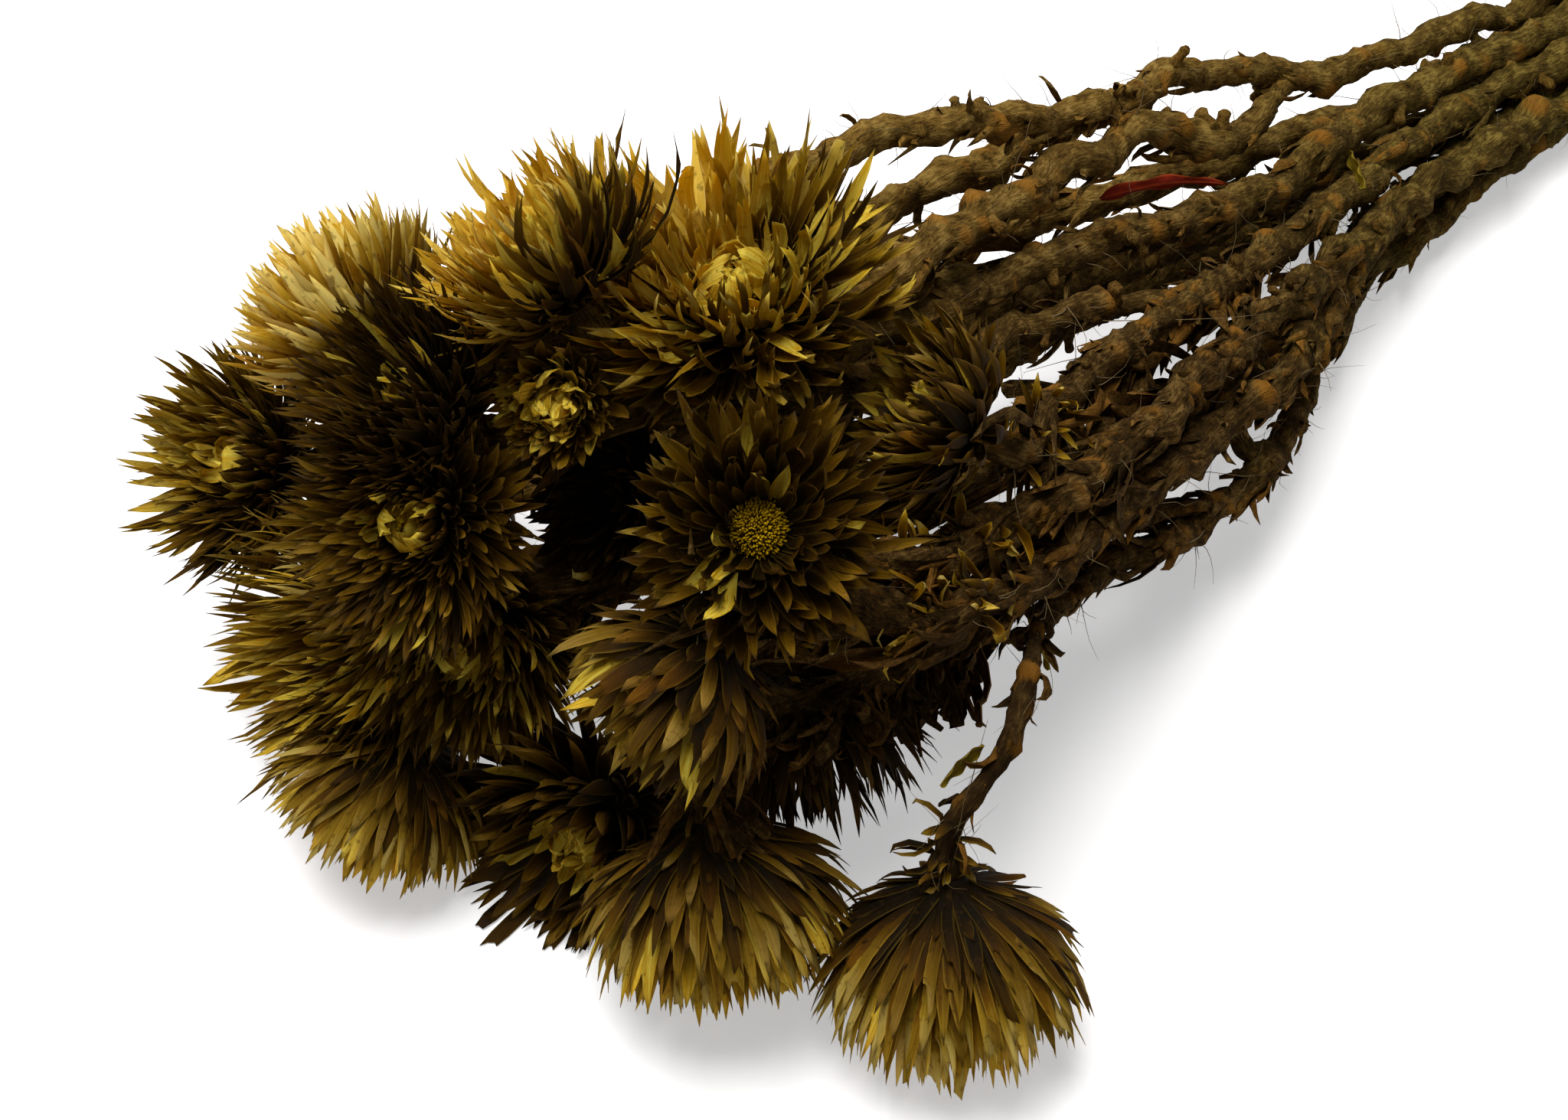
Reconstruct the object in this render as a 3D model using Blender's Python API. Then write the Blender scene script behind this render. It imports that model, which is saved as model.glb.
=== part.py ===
"""A tied bunch of dried cape everlastings, lying on a surface.

Ten woolly stems run together through one band near their cut ends and fan out to
the flower heads. Each stem forks once or twice, and each fork ends in a head: a cup
of pointed papery bracts, some with a cushion of florets showing in the middle.

The bunch lies along X, heads towards -X, cut ends towards +X, on the plane z = 0.
Lengths in the tables are millimetres; MM turns them into Blender's metres.
"""
import math
from collections import namedtuple

import bmesh
import bpy
import numpy as np
from mathutils import Vector

MM = 0.001
GAP = 0.3            # left between two pieces that touch

# --- driving dimensions -------------------------------------------------------------
TIE_X = 262.0        # where the band holds the stems
CUT_X = 302.0        # where the stems are cut, give or take a few millimetres
STEM_FOOT = 3.2      # stem radius at the band
STEM_TIP = 2.5       # stem radius under a head
SLOT_PITCH = 6.8     # stem to stem, side by side in the band
BAND_THICK = 1.0
BAND_WIDTH = 7.0
NECK_RADIUS = 3.0    # the foot of a head, where its stem ends
BRACTS_SHOWN = 10    # points round the rim of a head's solid
APPROACH = 6.0       # how far a stem runs straight before its head
NODE_STEP = 15.0     # distance between the rings of a stem's tube
STEM_SIDES_RES = 2   # bevel resolution of a stem, which gives it 8 sides
SHARP_EDGE = 40.0    # degrees between faces past which an edge is shaded sharp

# --- how the stems settle beside each other -----------------------------------------
ROUNDS = 260         # of pushing apart
ROOM = 1.03          # a stem asks for this many times its radius
STEM_CLEAR = 0.4     # stem to stem
HEAD_CLEAR = 0.5     # stem to a head that isn't its own
FLOOR_CLEAR = 0.2    # stem to the surface
SPRING_BACK = 0.995  # share of its shift that a stem keeps from round to round

Head = namedtuple("Head", "neck turn tilt radius depth disc rests")
Stem = namedtuple("Stem", "head start route step")

# A head's neck is where its stem ends. It faces turn degrees round from +X and tilt
# degrees above the surface. A head that rests is let down until its rim touches.
HEADS = {
    "head_01": Head((-47, 42, 80), 80, 8, 12.0, 19, False, False),
    "head_02": Head((-56, 67, 43), 174, 41, 13.5, 14, True, False),
    "head_03": Head((-58, 19, 69), -160, 36, 11.4, 14, True, False),
    "head_04": Head((-49, 28, 79), 160, 53, 9.8, 14, False, False),
    "head_05": Head((-26, 19, 94), 106, 50, 15.8, 18, True, False),
    "head_06": Head((-3, 7, 84), -170, 80, 17.0, 16, True, False),
    "head_07": Head((-34, 13, 84), -151, 29, 10.5, 13, True, False),
    "head_08": Head((-30, -25, 79), -129, 54, 10.8, 12, True, False),
    "head_09": Head((12, -30, 74), 136, 31, 13.0, 15, True, False),
    "head_10": Head((-42, -30, 69), 165, -45, 10.2, 18, False, False),
    "head_11": Head((-54, 16, 44), -146, 10, 14.8, 14, True, False),
    "head_12": Head((-61, 35, 30), 173, 20, 11.8, 13, True, False),
    "head_13": Head((-67, 18, 27), 172, -56, 15.0, 19, False, True),
    "head_14": Head((-50, -8, 15), -165, 11, 14.0, 14, True, True),
    "head_15": Head((-48, -32, 31), -123, -56, 14.4, 21, False, False),
    "head_16": Head((-27, -65, 31), -130, -63, 20.5, 22, False, True),
    "head_17": Head((-23, 43, 63), -166, 56, 11.0, 13, False, False),
    "head_18": Head((-21, 14, 51), -167, 34, 11.2, 13, False, False),
    "head_19": Head((-21, -22, 35), -119, -38, 12.0, 16, False, False),
    "head_20": Head((-22, 52, 25), 115, -29, 17.0, 17, False, True),
    "head_21": Head((-5, 29, 42), 102, 4, 13.0, 15, False, False),
}

# Stems. A main stem starts in a slot of the band, counted in half pitches across and
# rows up. A branch starts on its parent where the parent passes a given x. The route
# lists the bends in between, picked by hand.
STEMS = {
    "stem_top": Stem("head_05", (2, 2), [
        (232, 8, 20), (197, 11, 28), (164, 14, 35), (148, 18, 41), (130, 22, 50),
        (96, 18, 63), (75, 17, 73), (56, 18, 83), (33, 21, 88), (4, 29, 86)], NODE_STEP),
    "stem_ridge": Stem("head_04", (0, 2), [
        (233, 3, 18), (186, 6, 25), (163, 5, 30), (138, 1, 35), (113, -1, 41),
        (77, 2, 52), (40, 1, 62), (5, 5, 67), (-15, 14, 68), (-34, 20, 68)], NODE_STEP),
    "stem_middle": Stem("head_09", (-2, 2), [
        (229, -3, 15), (189, 0, 19), (161, -3, 24), (123, -9, 32), (102, -12, 38),
        (80, -15, 44), (58, -19, 51), (40, -24, 58), (26, -30, 64)], NODE_STEP),
    "stem_near": Stem("head_08", (-3, 1), [
        (227, -8, 10), (179, -7, 15), (153, -10, 20), (128, -15, 25), (107, -19, 31),
        (86, -24, 38), (68, -29, 44), (29, -38, 56), (-5, -38, 64), (-20, -32, 70)],
        NODE_STEP),
    "stem_under": Stem("head_10", (-1, 1), [
        (220, -4, 11), (150, -11, 17), (105, -26, 26), (71, -33, 35), (46, -38, 43),
        (9, -46, 54), (-11, -45, 62), (-28, -37, 72)], NODE_STEP),
    "stem_low": Stem("head_16", (-2, 0), [
        (227, -6, 5), (179, -7, 8), (138, -12, 12), (119, -20, 14), (101, -29, 16),
        (83, -36, 19), (63, -39, 23), (32, -41, 34), (15, -46, 42), (0, -55, 47),
        (-13, -62, 44)], NODE_STEP),
    "stem_floor": Stem("head_15", (0, 0), [
        (200, -2, 6), (150, -8, 9), (100, -18, 15), (60, -26, 24), (18, -34, 31),
        (-19, -35, 41), (-35, -29, 42)], NODE_STEP),
    "stem_core": Stem("head_03", (1, 1), [
        (200, 4, 12), (150, 7, 20), (100, 8, 30), (60, 9, 40), (20, 14, 47),
        (-14, 22, 56), (-36, 22, 60)], NODE_STEP),
    "stem_far": Stem("head_02", (3, 1), [
        (200, 13, 12), (150, 22, 18), (100, 32, 26), (50, 44, 34), (10, 56, 38),
        (-28, 65, 38)], NODE_STEP),
    "stem_back": Stem("head_13", (2, 0), [
        (200, 7, 5), (150, 11, 9), (100, 15, 15), (50, 18, 21), (0, 20, 26),
        (-40, 18, 31)], NODE_STEP),
    "branch_curl": Stem("head_06", ("stem_top", 148), [
        (126, 11, 43), (119, 12, 49), (103, 14, 57), (83, 11, 63), (59, 8, 69),
        (37, 5, 74), (14, 4, 74)], 10.0),
    "branch_crest": Stem("head_01", ("stem_top", 112), [
        (84, 22, 60), (55, 22, 66), (33, 25, 69), (5, 32, 75), (-26, 31, 79)],
        NODE_STEP),
    "branch_ridge": Stem("head_17", ("stem_ridge", 62), [
        (38, 12, 58), (15, 28, 58), (-8, 39, 58)], NODE_STEP),
    "branch_middle": Stem("head_07", ("stem_middle", 82), [
        (60, -8, 50), (35, -8, 58), (8, -6, 68), (-12, 8, 76)], NODE_STEP),
    "branch_near": Stem("head_18", ("stem_near", 52), [
        (30, -22, 47), (8, -4, 46), (-6, 10, 46)], NODE_STEP),
    "branch_under": Stem("head_11", ("stem_under", 66), [
        (40, -20, 40), (5, -8, 40), (-18, 6, 40), (-36, 14, 42)], NODE_STEP),
    "branch_hook": Stem("head_19", ("stem_low", 84), [
        (80, -31, 28), (75, -29, 34), (66, -30, 38), (54, -32, 38), (36, -30, 37),
        (15, -26, 38), (-6, -18, 39)], 8.0),
    "branch_floor": Stem("head_14", ("stem_floor", 62), [
        (40, -16, 22), (10, -10, 18), (-15, -6, 16), (-34, -6, 14)], NODE_STEP),
    "branch_core": Stem("head_12", ("stem_core", 62), [
        (30, 18, 36), (0, 23, 29), (-32, 32, 26)], NODE_STEP),
    "branch_far": Stem("head_20", ("stem_far", 80), [
        (50, 36, 23), (22, 40, 22), (0, 42, 27)], NODE_STEP),
    "branch_back": Stem("head_21", ("stem_back", 84), [
        (55, 22, 26), (22, 22, 33)], NODE_STEP),
}

# Finishes: base colour, roughness.
FELT = ("dried_stem", (0.20, 0.15, 0.07), 0.95)
BRACT = ("dried_bract", (0.42, 0.31, 0.08), 0.55)
FLORET = ("dried_floret", (0.62, 0.42, 0.05), 0.80)
RUBBER = ("band_rubber", (0.45, 0.32, 0.16), 0.60)
RED_LEAF = ("red_leaf", (0.35, 0.06, 0.02), 0.70)
GREEN_LEAF = ("green_leaf", (0.36, 0.34, 0.06), 0.70)


# --- small helpers ------------------------------------------------------------------
def facing(turn, tilt):
    """Unit vector turned round from +X and tilted up from the surface, in degrees."""
    t, e = math.radians(turn), math.radians(tilt)
    return np.array([math.cos(t) * math.cos(e), math.sin(t) * math.cos(e), math.sin(e)])


def finish(name_colour_roughness):
    """The Principled material of that name, made once and shared."""
    name, colour, roughness = name_colour_roughness
    mat = bpy.data.materials.get(name)
    if mat is None:
        mat = bpy.data.materials.new(name)
        mat.use_nodes = True
        bsdf = mat.node_tree.nodes["Principled BSDF"]
        bsdf.inputs["Base Color"].default_value = (*colour, 1.0)
        bsdf.inputs["Roughness"].default_value = roughness
        bsdf.inputs["Metallic"].default_value = 0.0
    return mat


def add_object(name, data, look, parent):
    """Link a mesh or curve as an object under the bunch's empty."""
    obj = bpy.data.objects.new(name, data)
    data.materials.append(finish(look))
    bpy.context.scene.collection.objects.link(obj)
    obj.parent = parent
    return obj


def ring_mesh(name, rings, closed=False):
    """Skin closed rings of (x, y, z) millimetres, with both ends capped.

    Where closed is true the last ring joins back to the first, as on a hoop.
    """
    bm = bmesh.new()
    made = [[bm.verts.new(Vector(p) * MM) for p in ring] for ring in rings]
    count = len(rings[0])
    following = made[1:] + made[:1] if closed else made[1:]
    for low, high in zip(made, following):
        for k in range(count):
            n = (k + 1) % count
            bm.faces.new((low[k], low[n], high[n], high[k]))
    if not closed:
        bm.faces.new(made[0][::-1])
        bm.faces.new(made[-1])
    bmesh.ops.triangulate(bm, faces=bm.faces[:])
    bmesh.ops.recalc_face_normals(bm, faces=bm.faces[:])
    mesh = bpy.data.meshes.new(name)
    bm.to_mesh(mesh)
    bm.free()
    mesh.shade_smooth()
    mesh.set_sharp_from_angle(angle=math.radians(SHARP_EDGE))
    return mesh


# --- flower heads -------------------------------------------------------------------
# Outer profile of a head: (share of its depth, share of its radius) from the neck up.
OUTER = ((0.15, 0.50), (0.50, 0.88), (0.80, 1.00))
# Inner profile, from under the bract tips down to the floor that carries the florets.
INNER = ((0.64, 0.74), (0.42, 0.46))
VALLEY = (0.84, 0.90)      # depth and radius share between two bract tips


def head_rings(head):
    """Rings of a head in its own frame, neck at the origin, facing +Z."""
    count = 2 * BRACTS_SHOWN
    angles = np.arange(count) * 2 * math.pi / count
    tip = np.arange(count) % 2 == 0

    def ring(radii, heights):
        return np.stack([radii * np.cos(angles), radii * np.sin(angles),
                         heights * np.ones(count)], axis=1)

    rings = [ring(NECK_RADIUS, 0.0)]
    rings += [ring(r * head.radius, d * head.depth) for d, r in OUTER]
    rim_radius = np.where(tip, 1.0, VALLEY[1]) * head.radius
    rim_height = np.where(tip, 1.0, VALLEY[0]) * head.depth
    rings.append(ring(rim_radius, rim_height))
    rings += [ring(r * head.radius, d * head.depth) for d, r in INNER]
    return rings


def outer_radius(head, along):
    """Radius of a head's outside, along millimetres up from its neck."""
    depths = [0.0] + [d * head.depth for d, _ in OUTER] + [head.depth]
    radii = [NECK_RADIUS] + [r * head.radius for _, r in OUTER] + [head.radius]
    return np.interp(along, depths, radii)


def head_turn(head):
    """Rotation that turns +Z to the way the head faces."""
    return Vector(facing(head.turn, head.tilt)).to_track_quat("Z", "Y")


def let_down(head):
    """The head, lowered until the lowest point of its rim is on the surface."""
    if not head.rests:
        return head
    turn = head_turn(head)
    lowest = min((turn @ Vector(p)).z for ring in head_rings(head) for p in ring)
    return head._replace(neck=(head.neck[0], head.neck[1], -lowest))


def place(obj, head):
    """Stand a piece modelled at the origin on a head's neck, facing its way."""
    obj.location = Vector(head.neck) * MM
    obj.rotation_mode = "QUATERNION"
    obj.rotation_quaternion = head_turn(head)


def add_head(name, head, parent):
    obj = add_object(name, ring_mesh(name, head_rings(head)), BRACT, parent)
    place(obj, head)


def add_disc(name, head, parent):
    """The cushion of florets: a low dome on the floor of the cup."""
    floor = INNER[1][0] * head.depth + GAP
    base = 0.36 * head.radius
    rise = 0.55 * base
    angles = np.arange(12) * math.pi / 6
    rings = [[(r * base * math.cos(a), r * base * math.sin(a), floor + h * rise)
              for a in angles] for r, h in ((0.9, 0.0), (1.0, 0.3), (0.75, 0.8), (0.35, 1.0))]
    place(add_object(name, ring_mesh(name, rings), FLORET, parent), head)


# --- stems --------------------------------------------------------------------------
def smooth_route(points, step):
    """Points about step apart along a Catmull-Rom curve through the given ones."""
    p = np.array(points, float)
    p = np.vstack([2 * p[0] - p[1], p, 2 * p[-1] - p[-2]])
    t = np.linspace(0, 1, 24, endpoint=False)[:, None]
    runs = []
    for a, b, c, d in zip(p, p[1:], p[2:], p[3:]):
        runs.append(0.5 * (2 * b + (c - a) * t + (2 * a - 5 * b + 4 * c - d) * t ** 2
                           + (3 * b - a - 3 * c + d) * t ** 3))
    fine = np.vstack(runs + [p[-2:-1]])
    length = np.concatenate([[0], np.cumsum(np.linalg.norm(np.diff(fine, axis=0), axis=1))])
    count = max(3, int(round(length[-1] / step)) + 1)
    even = np.linspace(0, length[-1], count)
    return np.stack([np.interp(even, length, fine[:, k]) for k in range(3)], axis=1)


def slot_centre(half_pitches, row):
    """Centre of a slot in the band: rows of three, four and three stems."""
    height = BAND_THICK + GAP + STEM_FOOT + row * SLOT_PITCH * math.sqrt(0.75)
    return np.array([TIE_X, half_pitches * SLOT_PITCH / 2, height])


def cut_end(slot, number):
    """Where a main stem is cut, fanned out a little past the band."""
    fan = 1.0 + 0.12 * (number % 3)
    row = slot[1]
    height = STEM_FOOT + 0.2 + row * SLOT_PITCH * 0.93
    return np.array([CUT_X - 3.0 * (number * 7 % 5), slot[0] * SLOT_PITCH / 2 * fan, height])


class Tube:
    """One stem's line of ring centres, with a radius at each ring."""

    def __init__(self, points, held, head):
        self.points = points
        self.held = held
        self.head = head
        share = np.clip((TIE_X - points[:, 0]) / (TIE_X + 60.0), 0, 1)
        swell = 0.12 * np.sin(np.arange(len(points)) * 2.3)
        self.radii = STEM_FOOT + (STEM_TIP - STEM_FOOT) * share
        self.radii[1:-1] += swell[1:-1] * (share[1:-1] > 0)
        self.parent = None

    def at_x(self, x):
        """Place, direction and radius where the stem passes that x."""
        xs = self.points[:, 0]
        k = int(np.argmax(xs < x))
        a, b = self.points[k - 1], self.points[k]
        share = (a[0] - x) / (a[0] - b[0])
        radius = self.radii[k - 1] + share * (self.radii[k] - self.radii[k - 1])
        return a + share * (b - a), (b - a) / np.linalg.norm(b - a), radius


def lay_out(heads):
    """Every stem's tube as the tables ask for it, before the stems settle."""
    tubes = {}
    for number, (name, stem) in enumerate(STEMS.items()):
        head = heads[stem.head]
        way = facing(head.turn, head.tilt)
        neck = np.array(head.neck, float) - GAP * way
        last = neck - APPROACH * way
        branch = isinstance(stem.start[0], str)
        if branch:
            start, _, _ = tubes[stem.start[0]].at_x(stem.start[1])
            line = smooth_route([start, *stem.route, last], stem.step)
            points = np.vstack([line, neck])
            held = np.zeros(len(points), bool)
        else:
            slot = slot_centre(*stem.start)
            through = slot - (BAND_WIDTH, 0, 0)
            line = smooth_route([through, *stem.route, last], stem.step)
            points = np.vstack([cut_end(stem.start, number), slot + (BAND_WIDTH, 0, 0), line, neck])
            held = np.zeros(len(points), bool)
            held[:3] = True
        held[-2:] = True
        tube = Tube(points, held, stem.head)
        if branch:
            tube.radii[0] = 0.6 * STEM_TIP
            tube.radii[1] = 0.9 * STEM_TIP
            tube.parent = stem.start
        tubes[name] = tube
    return tubes


def nearest_between(a, ab, c, cd):
    """Shares along segments a + s ab and c + t cd where they come closest."""
    ac = c - a
    d1 = (ab * ab).sum(1)
    d2 = (cd * cd).sum(1)
    mix = (ab * cd).sum(1)
    e = (ab * ac).sum(1)
    f = (cd * ac).sum(1)
    bottom = np.maximum(d1 * d2 - mix ** 2, 1e-9)
    s = np.clip((e * d2 - mix * f) / bottom, 0, 1)
    t = np.clip((mix * s - f) / d2, 0, 1)
    s = np.clip((e + mix * t) / d1, 0, 1)
    return s, t


def stretch_pairs(tubes, first, owner):
    """Every pair of tube stretches of two stems that may not cut into each other.

    A branch's first stretch is left out against its own parent, which it grows from.
    """
    names = list(tubes)
    ends = np.where(owner[:-1] == owner[1:])[0]
    i, j = np.triu_indices(len(ends), 1)
    i, j = ends[i], ends[j]
    apart = owner[i] != owner[j]
    for k, name in enumerate(names):
        if tubes[name].parent:
            m = names.index(tubes[name].parent[0])
            apart &= ~((j == first[k]) & (owner[i] == m))
    return i[apart], j[apart]


def push_of_stems(x, radius, i, j):
    """What moves each too close pair of stretches apart, half the shortfall each."""
    near = np.linalg.norm((x[i] + x[i + 1] - x[j] - x[j + 1]) / 2, axis=1) < 2 * NODE_STEP
    i, j = i[near], j[near]
    reach = np.maximum(radius[:-1], radius[1:])
    ab, cd = x[i + 1] - x[i], x[j + 1] - x[j]
    s, t = nearest_between(x[i], ab, x[j], cd)
    away = (x[i] + s[:, None] * ab) - (x[j] + t[:, None] * cd)
    far = np.linalg.norm(away, axis=1)
    short = np.maximum(reach[i] + reach[j] + STEM_CLEAR - far, 0)
    step = 0.5 * (short / np.maximum(far, 1e-6))[:, None] * away
    push = np.zeros_like(x)
    np.add.at(push, i, step * (1 - s)[:, None])
    np.add.at(push, i + 1, step * s[:, None])
    np.add.at(push, j, -step * (1 - t)[:, None])
    np.add.at(push, j + 1, -step * t[:, None])
    return push


def push_of_head(head, x, radius, owner, mine):
    """What moves rings and stretches' middles sideways out of a head not their own."""
    neck, way = np.array(head.neck, float), facing(head.turn, head.tilt)
    push = np.zeros_like(x)
    for middle in (False, True):
        spot = x.copy()
        if middle:
            spot[:-1] += 0.5 * (x[1:] - x[:-1])
        along = (spot - neck) @ way
        out = spot - neck - along[:, None] * way
        wide = np.linalg.norm(out, axis=1)
        room = outer_radius(head, along) + radius + HEAD_CLEAR
        inside = (along > -STEM_TIP) & (along < head.depth + STEM_TIP) & (wide < room) & ~mine
        if middle:
            inside[:-1] &= owner[:-1] == owner[1:]
            inside[-1] = False
        move = (np.where(inside, room - wide, 0) / np.maximum(wide, 1e-6))[:, None] * out
        push += move * (0.4 if middle else 0.6)
        if middle:
            push[1:] += 0.4 * move[:-1]
    return push


def settle(tubes, heads):
    """Push the stems apart until none cuts into another, into a head or the surface.

    Each round spreads its pushes smoothly along each stem, lets the stem spring back
    a little towards its wanted line, and seats every branch on its parent again.
    """
    names = list(tubes)
    count = [len(tubes[n].points) for n in names]
    first = np.concatenate([[0], np.cumsum(count)])
    owner = np.repeat(np.arange(len(names)), count)
    wanted = np.vstack([tubes[n].points for n in names])
    radius = np.concatenate([tubes[n].radii for n in names]) * ROOM
    held = np.concatenate([tubes[n].held for n in names])
    i, j = stretch_pairs(tubes, first, owner)
    x = wanted.copy()
    for _ in range(ROUNDS):
        push = push_of_stems(x, radius, i, j)
        for name, head in heads.items():
            mine = np.array([tubes[n].head == name for n in names])[owner]
            push += push_of_head(head, x, radius, owner, mine)
        push[held] = 0
        shift = x + push - wanted
        for start, end in zip(first, first[1:]):
            run = shift[start:end]
            run[1:-1] = 0.8 * run[1:-1] + 0.1 * (run[:-2] + run[2:])
        shift[held] = 0
        x = wanted + SPRING_BACK * shift
        x[:, 2] = np.maximum(x[:, 2], radius + FLOOR_CLEAR)
        for k, name in enumerate(names):
            if tubes[name].parent:
                seat_branch(x, names, first, radius, k, tubes[name].parent)
    for name, start, end in zip(names, first, first[1:]):
        tubes[name].points = x[start:end]


def seat_branch(x, names, first, radius, k, parent):
    """Set the first ring of branch k beside its parent, a gap off the parent's bark."""
    m = names.index(parent[0])
    line = x[first[m]:first[m + 1]]
    n = int(np.argmax(line[:, 0] < parent[1]))
    share = (line[n - 1, 0] - parent[1]) / (line[n - 1, 0] - line[n, 0])
    spot = line[n - 1] + share * (line[n] - line[n - 1])
    way = line[n] - line[n - 1]
    way = way / np.linalg.norm(way)
    side = x[first[k] + 1] - spot
    side -= (side @ way) * way
    side /= max(np.linalg.norm(side), 1e-6)
    off = x[first[k] + 1] - x[first[k]]
    along = abs(off @ way) / max(np.linalg.norm(off), 1e-6)
    clear = radius[first[m] + n] + radius[first[k]] * along + GAP
    x[first[k]] = spot + clear * side


def add_stem(name, tube, parent):
    """A stem as a curve with one ring at each of the tube's points."""
    curve = bpy.data.curves.new(name, "CURVE")
    curve.dimensions = "3D"
    curve.bevel_depth = MM
    curve.bevel_resolution = STEM_SIDES_RES
    curve.use_fill_caps = True
    spline = curve.splines.new("POLY")
    spline.points.add(len(tube.points) - 1)
    for point, place_, radius in zip(spline.points, tube.points, tube.radii):
        point.co = (*(place_ * MM), 1.0)
        point.radius = radius
    spline.use_smooth = True
    add_object(name, curve, FELT, parent)


# --- band, leaves and buds ----------------------------------------------------------
def outline(centres, radius, count=12):
    """Convex outline, as (y, z), round circles of that radius at the centres."""
    angles = np.arange(count) * 2 * math.pi / count
    spots = [(c[0] + radius * math.cos(a), c[1] + radius * math.sin(a))
             for c in centres for a in angles]
    spots = sorted(set((round(y, 4), round(z, 4)) for y, z in spots))

    def half(run):
        hull = []
        for p in run:
            while len(hull) > 1 and ((hull[-1][0] - hull[-2][0]) * (p[1] - hull[-2][1])
                                     <= (hull[-1][1] - hull[-2][1]) * (p[0] - hull[-2][0])):
                hull.pop()
            hull.append(p)
        return hull[:-1]

    return half(spots) + half(spots[::-1])


def add_band(parent):
    """The flat band drawn round all ten stems."""
    slots = [slot_centre(*s.start)[1:] for s in STEMS.values() if not isinstance(s.start[0], str)]
    rings = []
    for radius, side in ((STEM_FOOT + GAP, -1), (STEM_FOOT + GAP + BAND_THICK, -1),
                         (STEM_FOOT + GAP + BAND_THICK, 1), (STEM_FOOT + GAP, 1)):
        loop = outline(slots, radius)
        rings.append([(TIE_X + side * BAND_WIDTH / 2, y, z) for y, z in loop])
    add_object("band", ring_mesh("band", rings, closed=True), RUBBER, parent)


def blade_rings(length, width, thick, curl):
    """A pointed leaf along +Z, folded a little and curling towards +X."""
    rings = []
    for share, wide in ((0.0, 0.25), (0.25, 0.85), (0.55, 1.0), (0.82, 0.6), (1.0, 0.12)):
        lean = curl * length * share ** 2
        half, fold = wide * width / 2, 0.25 * wide * width / 2
        skin = thick / 2 * (0.5 + 0.5 * wide)
        rings.append([(lean + x, y, share * length) for x, y in
                      ((fold - skin, -half), (-skin, 0), (fold - skin, half),
                       (fold + skin, half), (skin, 0), (fold + skin, -half))])
    return rings


def bud_rings(length, width):
    """A closed bud along +Z: narrow foot, full middle, pointed tip."""
    angles = np.arange(8) * math.pi / 4
    return [[(r * width / 2 * math.cos(a), r * width / 2 * math.sin(a), h * length)
             for a in angles]
            for h, r in ((0.0, 0.45), (0.25, 0.85), (0.55, 1.0), (0.85, 0.6), (1.0, 0.2))]


# Leaves and buds: (look, carrying stem, x there, side it leaves by, lean along the
# stem towards the heads, rings). The side is a direction; the lean is in degrees.
SPRIGS = {
    "leaf_red": (
        RED_LEAF, "stem_ridge", 116, (0.0, 0.9, 0.6), 80, blade_rings(33, 5.0, 0.8, 0.0)),
    "leaf_green": (
        GREEN_LEAF, "stem_ridge", 150, (-0.1, -1.0, -0.1), 45, blade_rings(11, 4.0, 0.8, 0.1)),
    "leaf_curled": (
        GREEN_LEAF, "stem_low", -12, (-0.7, 0.6, -0.2), 35, blade_rings(9, 3.0, 0.7, 0.3)),
    "leaf_hanging": (
        GREEN_LEAF, "stem_floor", 24, (-0.4, -0.6, -0.5), 20, blade_rings(11, 3.6, 0.8, 0.1)),
    "bud_needle": (
        BRACT, "stem_floor", 6, (-0.3, -0.6, 0.6), 66, bud_rings(12, 5.5)),
    "bud_small": (
        BRACT, "stem_under", -14, (-0.2, -0.7, -0.5), 62, bud_rings(8, 4.6)),
}


def add_sprig(name, sprig, tubes, parent):
    """Seat a leaf or bud on its stem, leaning towards the heads."""
    look, stem, x, side, lean, rings = sprig
    spot, way, radius = tubes[stem].at_x(x)
    side = np.array(side, float)
    side -= (side @ way) * way
    side /= np.linalg.norm(side)
    lean = math.radians(lean)
    axis = math.cos(lean) * side + math.sin(lean) * way
    foot = max(math.hypot(p[0], p[1]) for p in rings[0])
    clear = radius + GAP + foot * math.sin(lean)
    obj = add_object(name, ring_mesh(name, rings), look, parent)
    obj.location = Vector(spot + clear * side) * MM
    obj.rotation_mode = "QUATERNION"
    obj.rotation_quaternion = Vector(axis).to_track_quat("Z", "Y")


# --- the bunch ----------------------------------------------------------------------
def centre_on_surface(root, pieces):
    """Move the bunch so its box stands on z = 0 with its middle over the origin."""
    bpy.context.view_layer.update()
    graph = bpy.context.evaluated_depsgraph_get()
    spots = []
    for obj in pieces:
        evaluated = obj.evaluated_get(graph)
        mesh = evaluated.to_mesh()
        local = np.empty(len(mesh.vertices) * 3)
        mesh.vertices.foreach_get("co", local)
        turn = np.array(obj.matrix_world)
        spots.append(local.reshape(-1, 3) @ turn[:3, :3].T + turn[:3, 3])
        evaluated.to_mesh_clear()
    spots = np.vstack(spots)
    low, high = spots.min(axis=0), spots.max(axis=0)
    root.location = (-(low[0] + high[0]) / 2, -(low[1] + high[1]) / 2, -low[2])
    bpy.context.view_layer.update()


def main():
    for obj in list(bpy.data.objects):
        bpy.data.objects.remove(obj, do_unlink=True)
    root = bpy.data.objects.new("bunch", None)
    bpy.context.scene.collection.objects.link(root)
    heads = {name: let_down(head) for name, head in HEADS.items()}
    tubes = lay_out(heads)
    settle(tubes, heads)
    for name, head in heads.items():
        add_head(name, head, root)
        if head.disc:
            add_disc(name.replace("head", "disc"), head, root)
    for name, tube in tubes.items():
        add_stem(name, tube, root)
    for name, sprig in SPRIGS.items():
        add_sprig(name, sprig, tubes, root)
    add_band(root)
    centre_on_surface(root, [o for o in bpy.data.objects if o.type in {"MESH", "CURVE"}])


main()
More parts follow.
